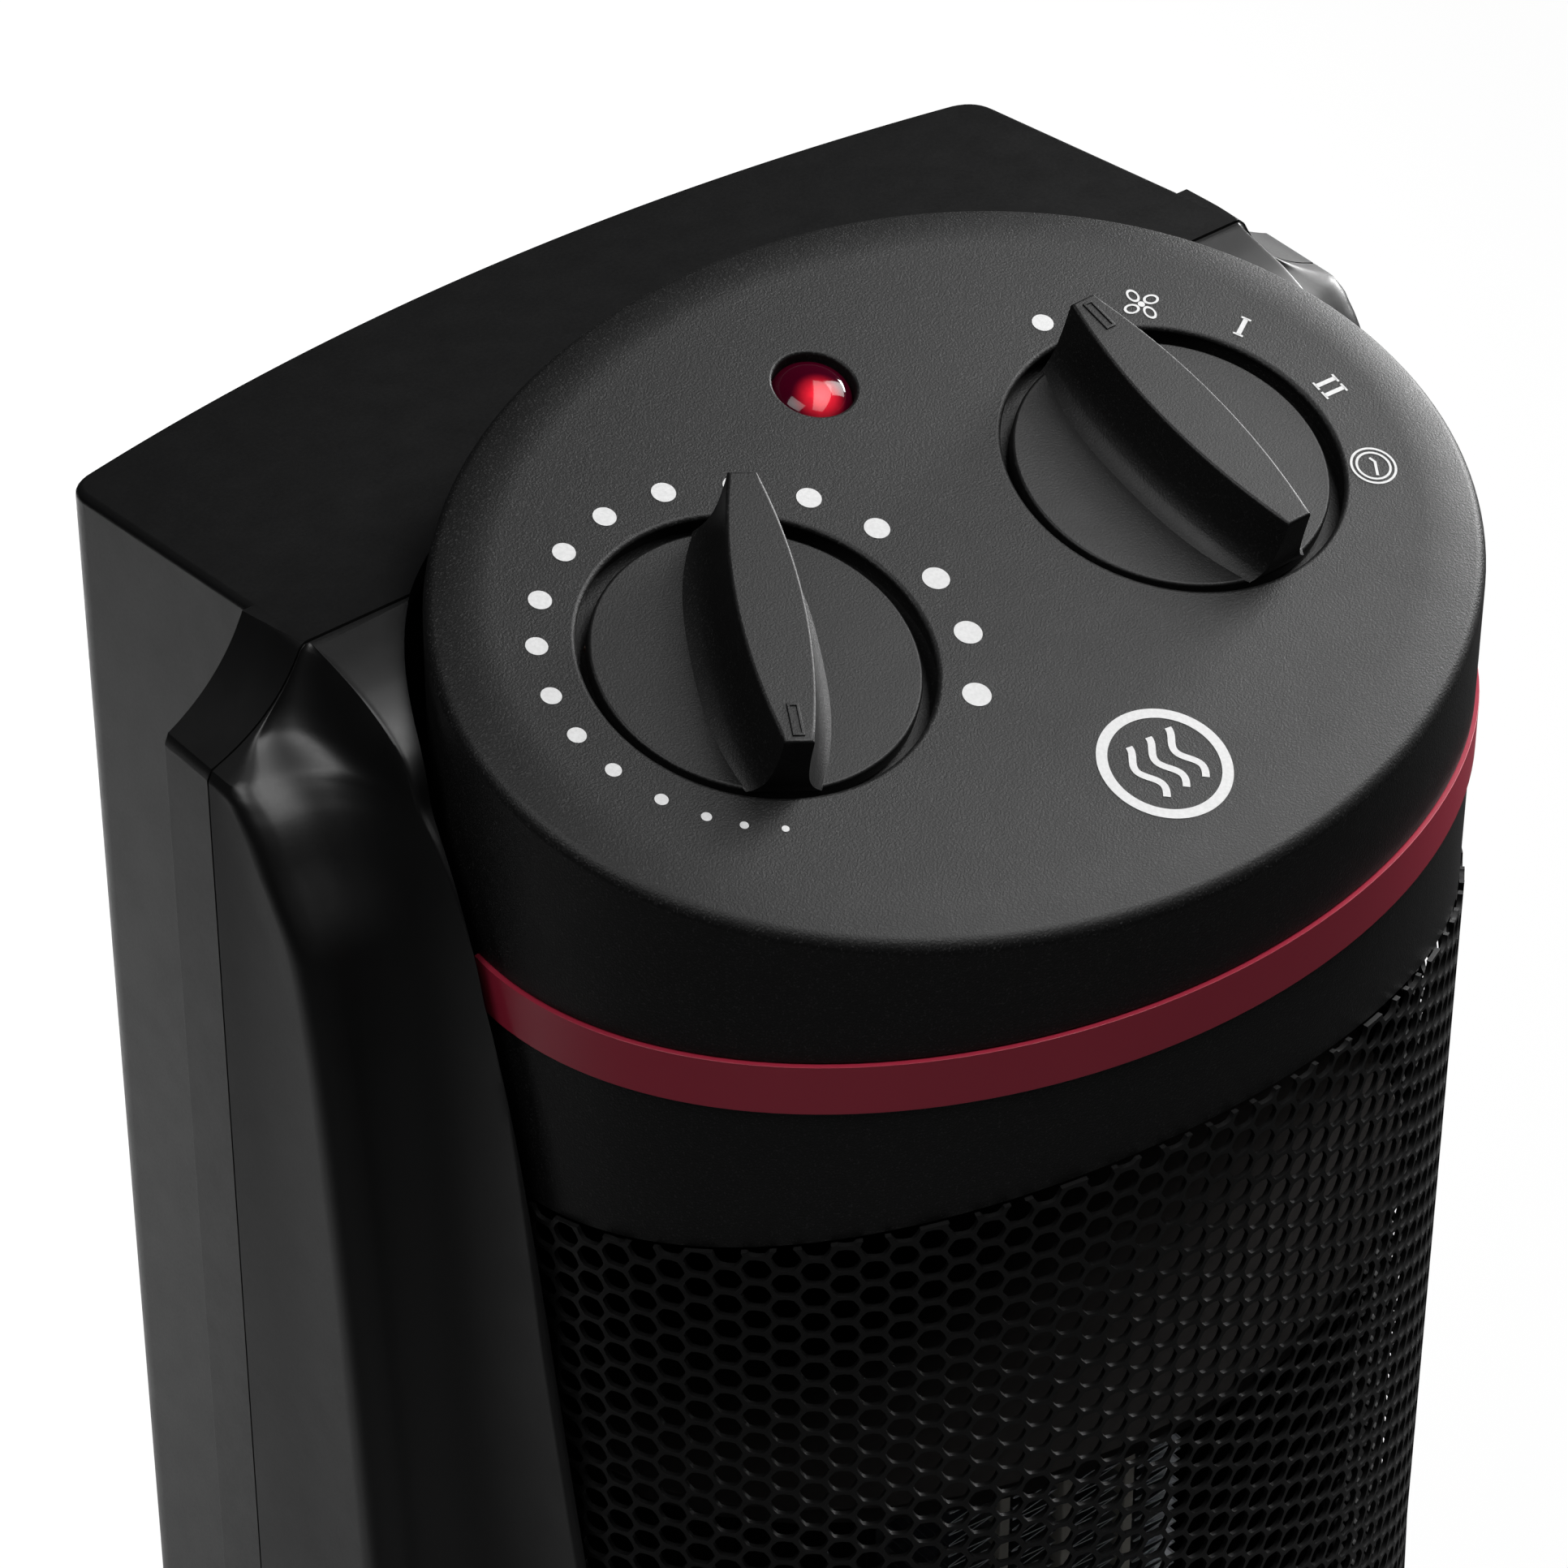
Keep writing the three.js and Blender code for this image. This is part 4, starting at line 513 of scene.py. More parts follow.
class Workpiece:
    """A mesh in the making, in millimetres."""

    def __init__(self) -> None:
        """Start an empty mesh."""
        self.mesh = bmesh.new()

    def ring(self, points: Iterable[Point]) -> list[bmesh.types.BMEdge]:
        """Draw a closed line.

        Args:
            points: Its corners in order.

        Returns:
            Its edges.
        """
        corners = [self.mesh.verts.new(point) for point in points]
        return [self.mesh.edges.new(pair) for pair in zip(corners, corners[1:] + corners[:1])]

    def fill(self, edges: Sequence[bmesh.types.BMEdge]) -> list[bmesh.types.BMFace]:
        """Close a ring with one face and return it."""
        return bmesh.ops.contextual_create(self.mesh, geom=list(edges))["faces"]

    def loft(self, sections: Sequence[Sequence[Point]]) -> "Workpiece":
        """Skin a closed form through sections of equally many points.

        Args:
            sections: Rings of points, in order.

        Returns:
            This workpiece.
        """
        edges = self.ring(sections[0])
        first = list(edges)
        order = {edge.verts[0]: i for i, edge in enumerate(edges)}
        for section in sections[1:]:
            made = bmesh.ops.extrude_edge_only(self.mesh, edges=edges)["geom"]
            fresh = {}
            for corner in (part for part in made if isinstance(part, bmesh.types.BMVert)):
                source = next(edge.other_vert(corner) for edge in corner.link_edges if edge.other_vert(corner) in order)
                fresh[corner] = order[source]
                corner.co = section[order[source]]
            edges = [
                part for part in made
                if isinstance(part, bmesh.types.BMEdge) and all(corner in fresh for corner in part.verts)
            ]
            order = fresh
        self.fill(first)
        self.fill(edges)
        return self.tidy()

    def lathe(self, profile: Sequence[tuple[float, float]], steps: int, closed: bool = False) -> "Workpiece":
        """Turn a profile about the upright axis.

        Args:
            profile: Its points as radius and height.
            steps: Facets round the axis.
            closed: Whether its last point joins its first.

        Returns:
            This workpiece.
        """
        corners = [self.mesh.verts.new((radius, 0.0, height)) for radius, height in profile]
        ends = corners[1:] + corners[:1] if closed else corners[1:]
        edges = [self.mesh.edges.new(pair) for pair in zip(corners, ends)]
        bmesh.ops.spin(
            self.mesh, geom=[*corners, *edges], cent=(0, 0, 0), axis=(0, 0, 1), angle=math.tau, steps=steps,
            use_merge=True,
        )
        return self.tidy()

    def prism(self, points: Iterable[Point], push: Point) -> "Workpiece":
        """Extrude a flat outline.

        Args:
            points: The outline's corners.
            push: How far and where it is pushed.

        Returns:
            This workpiece.
        """
        edges = self.ring(points)
        face = self.fill(edges)
        moved = bmesh.ops.extrude_face_region(self.mesh, geom=face, use_keep_orig=True)["geom"]
        corners = [part for part in moved if isinstance(part, bmesh.types.BMVert)]
        bmesh.ops.translate(self.mesh, verts=corners, vec=push)
        return self.tidy()

    def block(self, low: Point, high: Point) -> "Workpiece":
        """Add a box between two corners and return this workpiece."""
        middle = (Vector(low) + Vector(high)) / 2
        size = Vector(high) - Vector(low)
        bmesh.ops.create_cube(self.mesh, size=1.0, matrix=Matrix.Translation(middle) @ Matrix.Diagonal((*size, 1.0)))
        return self

    def rod(self, radius: float, low: float, high: float, spot: tuple[float, float] = (0.0, 0.0),
            sides: int = 64, tip: float | None = None) -> "Workpiece":
        """Add an upright rod.

        Args:
            radius: Its radius at the lower end.
            low: Level of its lower end.
            high: Level of its upper end.
            spot: Its place in plan.
            sides: Facets round it.
            tip: Its radius at the upper end, if that differs.

        Returns:
            This workpiece.
        """
        place = Matrix.Translation((spot[0], spot[1], (low + high) / 2))
        bmesh.ops.create_cone(
            self.mesh, cap_ends=True, segments=sides, radius1=radius, radius2=radius if tip is None else tip,
            depth=high - low, matrix=place,
        )
        return self

    def tidy(self) -> "Workpiece":
        """Weld the mesh, turn its faces outwards and return this workpiece."""
        bmesh.ops.remove_doubles(self.mesh, verts=self.mesh.verts, dist=1e-4)
        bmesh.ops.recalc_face_normals(self.mesh, faces=self.mesh.faces)
        return self

    def turn(self, matrix: Matrix) -> "Workpiece":
        """Move all of the mesh by a matrix and return this workpiece."""
        bmesh.ops.transform(self.mesh, matrix=matrix, verts=self.mesh.verts)
        return self

    def slice(self, point: Point, normal: Point) -> "Workpiece":
        """Cut away what lies beyond a plane and close the cut.

        Args:
            point: A point of the plane.
            normal: The side that goes.

        Returns:
            This workpiece.
        """
        parts = [*self.mesh.verts, *self.mesh.edges, *self.mesh.faces]
        made = bmesh.ops.bisect_plane(self.mesh, geom=parts, plane_co=point, plane_no=normal, clear_outer=True)
        edges = [part for part in made["geom_cut"] if isinstance(part, bmesh.types.BMEdge)]
        bmesh.ops.holes_fill(self.mesh, edges=edges, sides=0)
        return self.tidy()

    def copy(self) -> "Workpiece":
        """Return a workpiece of the same mesh."""
        other = Workpiece()
        other.mesh = self.mesh.copy()
        return other

    def meet(self, other: "Workpiece", how: Cut) -> "Workpiece":
        """Join, cut or trim with another workpiece.

        Args:
            other: The other workpiece, which is used up.
            how: What is done.

        Returns:
            This workpiece.
        """
        mine, theirs = self.object("work"), other.object("tool")
        modifier = mine.modifiers.new("meet", "BOOLEAN")
        modifier.operation = how.value
        modifier.solver = "MANIFOLD"
        modifier.object = theirs
        self.settle(mine, theirs)
        if not self.mesh.faces:
            raise ValueError("a cut left nothing")
        return self

    def repeat(self, count: int, step: Point) -> "Workpiece":
        """Repeat the mesh in a row.

        Args:
            count: How many copies the row has.
            step: From one copy to the next.

        Returns:
            This workpiece.
        """
        mine = self.object("work")
        row = mine.modifiers.new("row", "ARRAY")
        row.count = count
        row.use_relative_offset, row.use_constant_offset = False, True
        row.constant_offset_displace = step
        self.settle(mine)
        return self

    def settle(self, mine: bpy.types.Object, *tools: bpy.types.Object) -> None:
        """Take an object's mesh after its modifiers and remove the objects.

        Args:
            mine: The object.
            *tools: Other objects that its modifiers use.
        """
        shapes = bpy.context.evaluated_depsgraph_get()
        result = bpy.data.meshes.new_from_object(mine.evaluated_get(shapes))
        self.mesh = bmesh.new()
        self.mesh.from_mesh(result)
        for used in (mine, *tools):
            shape = used.data
            bpy.data.objects.remove(used)
            bpy.data.meshes.remove(shape)
        bpy.data.meshes.remove(result)

    def data(self, name: str = "part") -> bpy.types.Mesh:
        """Turn the workpiece into mesh data and use it up."""
        data = bpy.data.meshes.new(name)
        self.mesh.to_mesh(data)
        self.mesh.free()
        return data

    def take(self, other: "Workpiece") -> "Workpiece":
        """Add another workpiece's mesh to this one, use it up and return this one."""
        data = other.data()
        self.mesh.from_mesh(data)
        bpy.data.meshes.remove(data)
        return self

    def object(self, name: str) -> bpy.types.Object:
        """Turn the workpiece into an object and use it up."""
        made = bpy.data.objects.new(name, self.data(name))
        bpy.context.scene.collection.objects.link(made)
        return made

    def flatten(self, degrees: float = 0.4) -> "Workpiece":
        """Merge flat triangles into single faces and return this workpiece."""
        bmesh.ops.remove_doubles(self.mesh, verts=self.mesh.verts, dist=5e-4)
        bmesh.ops.dissolve_limit(
            self.mesh, angle_limit=math.radians(degrees), verts=self.mesh.verts, edges=self.mesh.edges,
        )
        return self

    def round(self, radius: float, segments: int = 3, degrees: float = 30.0,
              where: Callable[[Vector, bmesh.types.BMEdge], bool] | None = None) -> "Workpiece":
        """Round the sharp edges.

        Args:
            radius: How far each edge is set back.
            segments: Steps round it.
            degrees: The least angle that counts as sharp.
            where: Tells from an edge's middle whether it is taken.

        Returns:
            This workpiece.
        """
        limit = math.radians(degrees)
        edges = [
            edge for edge in self.mesh.edges
            if len(edge.link_faces) == 2 and edge.calc_face_angle(0.0) > limit
            and (where is None or where((edge.verts[0].co + edge.verts[1].co) / 2, edge))
        ]
        bmesh.ops.bevel(
            self.mesh, geom=edges, offset=radius, offset_type="OFFSET", segments=segments, profile=0.5,
            affect="EDGES", clamp_overlap=True, material=-1, loop_slide=True,
        )
        return self

    def publish(self, name: str, slot: str, body: Body, *nodes: str, crease: float = 32.0,
                even: bool = True, look: str | None = None) -> bpy.types.Object:
        """Make the finished piece.

        Args:
            name: The piece's name.
            slot: Material slot of its finish.
            body: The body it rides on.
            *nodes: CAD nodes that it stands for.
            crease: The angle in degrees past which an edge shades sharp.
            even: Whether flat faces rule the shading.
            look: Name of its finish, if that isn't the slot's own.

        Returns:
            The object.
        """
        bmesh.ops.scale(self.mesh, vec=(MM, MM, MM), verts=self.mesh.verts)
        limit = math.radians(crease)
        for face in self.mesh.faces:
            face.smooth = True
        for edge in self.mesh.edges:
            edge.smooth = edge.calc_face_angle(0.0) < limit
        made = self.object(name)
        made.name = made.data.name = name
        if even:
            shading = made.modifiers.new("even shading", "WEIGHTED_NORMAL")
            shading.keep_sharp = True
        made.data.materials.append(PALETTE.material(look or slot))
        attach(made, body.value)
        if nodes:
            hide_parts(*nodes)
        LOG.info("%s: %d faces", name, len(made.data.polygons))
        return made


# Sizes that several sub-assemblies share


def eased(stations: Sequence[Sequence[float]], count: int) -> list[list[float]]:
    """Fill in smooth steps between measured stations.

    Args:
        stations: Rows of values whose first column grows.
        count: Steps between each two rows.

    Returns:
        The rows with the new ones between them.
    """
    rows = []
    for i in range(len(stations) - 1):
        before, here, there, after = (stations[min(max(i + k, 0), len(stations) - 1)] for k in (-1, 0, 1, 2))
        span = there[0] - here[0]
        for step in range(count):
            t = step / count
            row = []
            for a, b, c, d, in zip(before, here, there, after):
                rate = (c - b) / span
                left = 0.0 if here is before else (b - a) / (here[0] - before[0])
                right = 0.0 if there is after else (d - c) / (after[0] - there[0])
                m0 = 0.0 if left * rate <= 0 else 2 * left * rate / (left + rate)
                m1 = 0.0 if right * rate <= 0 else 2 * right * rate / (right + rate)
                m0 = rate if here is before else m0
                m1 = rate if there is after else m1
                row.append(
                    b * (1 + 2 * t) * (1 - t) ** 2 + m0 * span * t * (1 - t) ** 2
                    + c * t * t * (3 - 2 * t) + m1 * span * t * t * (t - 1)
                )
            rows.append(row)
    return [*rows, list(stations[-1])]


def bend(first: Sequence[float], pull: Sequence[float], last: Sequence[float], steps: int) -> list[tuple[float, float]]:
    """Give points of a bend between two places.

    Args:
        first: Where it starts.
        pull: The corner that it is drawn towards.
        last: Where it ends.
        steps: How many steps it has.

    Returns:
        Its points, with both ends.
    """
    points = []
    for i in range(steps + 1):
        t = i / steps
        weights = ((1 - t) ** 2, 2 * t * (1 - t), t * t)
        points.append(tuple(sum(w * p[k] for w, p in zip(weights, (first, pull, last))) for k in (0, 1)))
    return points


@dataclass(frozen=True)
class Layout:
    """Sizes and levels that several sub-assemblies share, in millimetres."""

    gap: float = 0.3
    wall: float = 2.4
    half_width: float = 76.7
    half_depth: float = 57.4
    column_y: float = -20.6
    groove: float = 2.5
    seam_y: float = 15.5
    seam_top: float = 383.6
    seam_half: float = 80.2
    rear_half: float = 79.4
    rear_corner_y: float = 72.4
    rear_y: float = 82.2
    flange_half: float = 95.7
    flange_rear_y: float = 27.8
    top_fall: float = math.radians(7.2)
    tower_bottom: float = 31.8
    plate_z: float = 382.7
    tilt: float = math.radians(15.95)
    stripe_top: float = 350.8
    stripe_bottom: float = 342.8
    collar_low: float = 326.6
    grille_low: float = 88.0
    arch_rise: float = 10.9
    knob_across: float = 35.3
    knob_up: float = -0.67
    duct_top: float = 266.0
    duct_bottom: float = 108.0

    def oval(self, reduce: float, z: float, steps: int = 160) -> list[Point]:
        """Give a level oval round the column's axis.

        Args:
            reduce: How far it lies inside the column's face.
            z: Its level.
            steps: How many points it has.

        Returns:
            Its points.
        """
        turns = [math.tau * i / steps for i in range(steps)]
        wide, deep = self.half_width - reduce, self.half_depth - reduce
        return [(wide * math.cos(t), self.column_y + deep * math.sin(t), z) for t in turns]

    def column(self, reduce: float, low: float, high: float, steps: int = 160) -> Workpiece:
        """Return an upright oval solid between two levels."""
        return Workpiece().prism(self.oval(reduce, low, steps), (0.0, 0.0, high - low))

    def on_plate(self, across: float = 0.0, up: float = 0.0, turn: float = 0.0) -> Matrix:
        """Give the place of something on the tilted control plate.

        Args:
            across: Its place to the right of the middle.
            up: Its place up the plate.
            turn: Its turn about the plate's normal in radians.

        Returns:
            The matrix that puts it there.
        """
        return (
            Matrix.Translation((0.0, self.column_y, self.plate_z)) @ Matrix.Rotation(self.tilt, 4, "X")
            @ Matrix.Translation((across, up, 0.0)) @ Matrix.Rotation(turn, 4, "Z")
        )

    def arch(self, middle: float, rise: float, x: float) -> float:
        """Return the height of an arched edge at a place across the column."""
        return middle + rise * (x / self.half_width) ** 2

    def under_arch(self, middle: float, rise: float, low: float, steps: int = 48) -> Workpiece:
        """Give all space under an arched edge across the column.

        Args:
            middle: Height of the edge in the middle.
            rise: How much higher it is at the column's sides.
            low: The space's lower end.
            steps: Steps along the edge.

        Returns:
            The space.
        """
        half = self.half_width + 3
        line = [half - 2 * half * i / steps for i in range(steps + 1)]
        front = self.column_y - self.half_depth - 3
        outline = [(-half, front, low), (half, front, low), *((x, front, self.arch(middle, rise, x)) for x in line)]
        return Workpiece().prism(outline, (0.0, 2 * self.half_depth + 6, 0.0))


LAYOUT = Layout()


# Tower housing


@dataclass
class RearHousing:
    """The rear half of the tower's housing, with its grip pocket and air intake."""

    sweep_drop: float = 13.3
    sweep_corner: float = 1.5
    sweep_top: float = 1.0
    top_edge: float = 1.2
    flange_edge: float = 0.9
    flange_draft: float = 2.6
    corner: float = 5.0
    pocket_half: float = 45.0
    pocket_top: float = 342.6
    pocket_height: float = 26.0
    pocket_depth: float = 20.0
    window_half: float = 46.0
    screw_places: tuple[tuple[float, float], ...] = field(
        default_factory=lambda: tuple((side * 87.95, z) for z in (341.6, 61.8) for side in (-1, 1)),
    )

    def sweep(self, inset: float) -> list[tuple[float, float]]:
        """Give the flange's concave upper edge.

        Args:
            inset: How far inside the skin the line lies.

        Returns:
            Its points as half width and height, from the top down.
        """
        s = LAYOUT
        width = s.flange_half - self.sweep_corner / 2 - s.seam_half
        joint = (s.seam_half + 0.6 * self.sweep_top, self.sweep_top)
        curve = bend((s.seam_half - self.sweep_top, 0.0), (s.seam_half, 0.0), joint, 5)[:-1]
        curve += bend(
            joint, (s.seam_half + 0.33 * width, 0.74 * self.sweep_drop), (s.seam_half + width, self.sweep_drop), 20,
        )
        curve.append((s.flange_half, self.sweep_drop + self.sweep_corner))
        return [(x - inset, s.seam_top - inset - drop) for x, drop in curve]

    def plan(self, inset: float) -> list[tuple[float, float]]:
        """Give the trunk's outline seen from above.

        Args:
            inset: How far inside the skin it lies.

        Returns:
            Its points.
        """
        s = LAYOUT
        front, rear, y = s.seam_half - inset, s.rear_half - inset, s.rear_corner_y - inset
        bow = 2 * (s.rear_y - inset) - y
        right = bend((rear, y - self.corner), (rear, y), (rear - self.corner, y + 0.9), 8)
        back = bend((rear - self.corner, y + 0.9), (0.0, bow - 0.9), (self.corner - rear, y + 0.9), 48)
        left = [(-x, y) for x, y in reversed(right)]
        return [(-front, s.seam_y), (front, s.seam_y), *right, *back[1:-1], *left]

    def body(self, inset: float, rounded: bool) -> Workpiece:
        """Build the housing's outer form.

        Args:
            inset: How far inside the skin it lies.
            rounded: Whether its top edges are rounded.

        Returns:
            The solid.
        """
        s = LAYOUT
        low = s.tower_bottom - (3 if inset else 0)
        slope = ((0.0, s.seam_y, s.seam_top - inset), (0.0, math.sin(s.top_fall), math.cos(s.top_fall)))
        trunk = Workpiece().prism([(x, y, low) for x, y in self.plan(inset)], (0.0, 0.0, 400 - low))
        trunk.slice(*slope)
        if rounded:
            trunk.round(self.top_edge, 6, where=lambda spot, edge: (
                min(corner.co.z for corner in edge.verts) > 370 and min(c.co.y for c in edge.verts) > s.seam_y - 0.1
                and not all(c.co.y < s.seam_y + 0.1 for c in edge.verts)
            ))
        right = self.sweep(inset)
        half = [(s.flange_half - inset, low), *reversed(right), (right[0][0], 390.0)]
        outline = [*half, *((-x, z) for x, z in reversed(half))]
        deep = s.flange_rear_y - inset - s.seam_y
        flange = Workpiece().prism([(x, s.seam_y, z) for x, z in outline], (0.0, deep, 0.0))
        flange.slice(*slope)
        for corner in flange.mesh.verts:
            beyond = max(abs(corner.co.x) - s.seam_half, 0.0) / (s.flange_half - s.seam_half)
            if corner.co.y > s.seam_y + deep / 2:
                corner.co.y -= self.flange_draft * beyond
        if rounded:
            flange.round(self.flange_edge, 3, 40.0, lambda spot, edge: (
                abs(spot.x) > s.seam_half + 0.5 and spot.y > s.seam_y + 1
            ))
        return trunk.meet(flange, Cut.ADD)

    def pocket(self, wall: float) -> Workpiece:
        """Return the grip pocket's space, grown by a wall."""
        half, top = self.pocket_half + wall, self.pocket_top
        back = LAYOUT.rear_y + 6
        box = Workpiece().block(
            (-half, LAYOUT.rear_y - self.pocket_depth - wall, top - self.pocket_height - wall), (half, back, top + wall),
        )
        return box.round(6.0, 6, where=lambda spot, edge: spot.y < back - 1)

    def window(self, grow: float) -> Workpiece:
        """Return the air intake's opening, grown on all sides."""
        s = LAYOUT
        half = self.window_half + grow
        box = Workpiece().block(
            (-half, s.flange_rear_y, s.duct_bottom + 2 - grow), (half, s.rear_y + 6, s.duct_top - 2 + grow),
        )
        return box.round(4.0 + grow, 6, where=lambda spot, edge: abs(edge.verts[0].co.y - edge.verts[1].co.y) > 9)

    def lying_rods(self, radius: float, front: float, back: float, sides: int = 24) -> Workpiece:
        """Give rods at the four screw places.

        Args:
            radius: Their radius.
            front: Where they start along Y.
            back: Where they end.
            sides: Facets round each.

        Returns:
            The rods.
        """
        work = Workpiece()
        for x, z in self.screw_places:
            work.rod(radius, -back, -front, (x, z), sides)
        return work.turn(Matrix.Rotation(math.pi / 2, 4, "X"))

    def shell(self) -> bpy.types.Object:
        """Build the rear shell.

        Returns:
            The piece.
        """
        s = LAYOUT
        work = self.body(0.0, True).meet(self.body(s.wall, False), Cut.TAKE)
        walls = self.pocket(s.wall).meet(self.body(0.4, False), Cut.KEEP)
        work.meet(walls, Cut.ADD)
        work.meet(self.lying_rods(4.0, s.seam_y + 0.1, s.flange_rear_y - 1), Cut.ADD)
        work.meet(self.pocket(0.0), Cut.TAKE).meet(self.window(0.0), Cut.TAKE)
        work.meet(self.lying_rods(3.3, s.flange_rear_y - 2.4, s.flange_rear_y + 3), Cut.TAKE)
        work.meet(self.lying_rods(1.8, s.seam_y - 3, s.flange_rear_y), Cut.TAKE)
        work.meet(s.column(-s.groove, s.collar_low - s.arch_rise, 400.0), Cut.TAKE).flatten(0.2)
        return work.publish("rear_housing", "housing_plastic", Body.TOWER, "rear_shell")

    def intake(self) -> bpy.types.Object:
        """Build the louvred panel of the air intake.

        Returns:
            The piece.
        """
        s = LAYOUT
        low, high = s.duct_bottom + 2.3, s.duct_top - 2.3
        skin = Workpiece().prism([(x, y, low) for x, y in self.plan(0.0)], (0.0, 0.0, high - low))
        skin.meet(Workpiece().prism([(x, y - 0.0, low - 3) for x, y in self.plan(s.wall)], (0, 0, high - low + 6)), Cut.TAKE)
        skin.meet(self.window(-0.3), Cut.KEEP)
        pitch = (s.duct_top - s.duct_bottom - 14) / 18
        slots = Workpiece()
        for row in range(18):
            z = s.duct_bottom + 7 + (row + 0.5) * pitch
            for side in (-1, 1):
                inner, outer = sorted((side * 3.0, side * 41.0))
                slot = Workpiece().block((inner, 50.0, z - 0.31 * pitch), (outer, s.rear_y + 3, z + 0.31 * pitch))
                slot.round(0.3 * pitch, 4, where=lambda spot, edge: abs(edge.verts[0].co.y - edge.verts[1].co.y) > 9)
                slots.take(slot)
        skin.meet(slots, Cut.TAKE).flatten(0.2)
        return skin.publish("intake_louvres", "housing_plastic", Body.TOWER, "intake_grille")

    def build(self) -> None:
        """Build all pieces of the rear housing."""
        self.shell()
        self.intake()


@dataclass
class FrontHousing:
    """The front half of the housing: both fairings and the panel under the grille."""

    reach_flange: float = 37.5
    reach_wall: float = 70.7
    edge: float = 4.6
    ridge_land: float = 1.3
    ridge_edge: float = 0.9
    stations: tuple[tuple[float, float, float], ...] = (
        (0.0006, 0.004, 0.008), (0.0035, 0.004, 0.085), (0.0075, 0.004, 0.162), (0.0137, 0.005, 0.233),
        (0.021, 0.008, 0.283), (0.029, 0.03, 0.309), (0.038, 0.16, 0.325), (0.049, 0.28, 0.375),
        (0.064, 0.373, 0.43), (0.096, 0.547, 0.505), (0.167, 0.653, 0.592), (0.364, 0.8, 0.727),
        (0.57, 0.907, 0.853), (0.8, 0.973, 0.955), (1.0, 1.0, 1.0),
    )

    def ridge_half(self, y: float) -> float:
        """Return the half width of the ridge beside the column at a place along Y."""
        s = LAYOUT
        widest = s.seam_half - 1.0
        ahead = max(s.column_y - y, 0.0) / (s.half_depth + s.groove)
        return min(widest, (s.half_width + s.groove) * math.sqrt(max(1 - ahead ** 2, 0)) + self.ridge_land)

    def flange_half_at(self, drop: float) -> float:
        """Give the flange's half width at a drop below its top.

        Args:
            drop: How far below.

        Returns:
            The half width.
        """
        line = [(LAYOUT.seam_top - z, x) for x, z in RearHousing().sweep(0.0)]
        for (low, near), (high, far) in zip(line, line[1:]):
            if drop <= high:
                return near + (far - near) * max(drop - low, 0.0) / (high - low)
        return LAYOUT.flange_half

    def section(self, station: Sequence[float], inset: float, back: float) -> list[Point]:
        """Give one level section of the right fairing.

        Args:
            station: Shares of the drop, the flange's reach and the wall's reach.
            inset: How far inside the skin it lies.
            back: Where its rear lies along Y.

        Returns:
            Its points.
        """
        s = LAYOUT
        drop = station[0] * (s.seam_top - s.tower_bottom)
        outer = self.flange_half_at(drop) - inset
        front = s.seam_y - s.gap
        flange = front - station[1] * self.reach_flange + inset
        wall = front - station[2] * self.reach_wall + inset
        ridge = self.ridge_half(wall - inset) - inset
        edge = min(self.edge, (back - flange) / 2, (outer - ridge) / 3)
        land = min(self.ridge_edge, abs(wall - flange) / 4 + 0.02)
        valley = bend((outer - edge, flange), (ridge + (outer - ridge) * 0.12, flange), (ridge, wall + land), 18)
        points = [
            (45.9, back), (outer, back), *bend((outer, flange + edge), (outer, flange), (outer - edge, flange), 6)[:-1],
            *valley[:-1], *bend((ridge, wall + land), (ridge, wall), (ridge - land, wall), 4), (45.9, wall),
        ]
        return [(x, y, s.seam_top - drop - inset) for x, y in points]

    def fairing(self, inset: float, back: float) -> Workpiece:
        """Build both fairings as solids.

        Args:
            inset: How far inside the skin they lie.
            back: Where their rear lies along Y.

        Returns:
            The solids.
        """
        rows = [self.section(row, inset, back) for row in eased(self.stations, 7)]
        if inset:
            rows.append([(x, y, LAYOUT.tower_bottom - 3) for x, y, z in rows[-1]])
        work = Workpiece().loft(rows)
        other = work.copy().turn(Matrix.Diagonal((-1.0, 1.0, 1.0, 1.0))).tidy()
        work.take(other)
        return work

    def shell(self) -> bpy.types.Object:
        """Build the front shell.

        Returns:
            The piece.
        """
        s = LAYOUT
        back = s.seam_y - s.gap
        panel_side = s.grille_low + s.arch_rise
        work = self.fairing(0.0, back)
        hollow = self.fairing(s.wall, s.seam_y + 3)
        hollow.meet(s.column(-s.groove - s.wall, panel_side - s.wall, 400.0), Cut.TAKE)
        work.meet(hollow, Cut.TAKE)
        groove = s.column(-s.groove, s.grille_low, 400.0)
        groove.meet(s.under_arch(s.grille_low, s.arch_rise, 20.0), Cut.TAKE)
        work.meet(groove, Cut.TAKE)
        panel = s.column(0.0, s.tower_bottom, panel_side + 3)
        panel.meet(s.under_arch(s.grille_low, s.arch_rise, 20.0), Cut.KEEP)
        panel.slice((0.0, back, 0.0), (0.0, 1.0, 0.0))
        work.meet(panel, Cut.ADD)
        work.meet(s.column(s.wall, 20.0, panel_side + 6), Cut.TAKE)
        work.flatten(0.15)
        return work.publish("front_housing", "housing_plastic", Body.TOWER, "front_shell", even=False)

    def build(self) -> None:
        """Build the front housing."""
        self.shell()


# Control head, stripe and collar


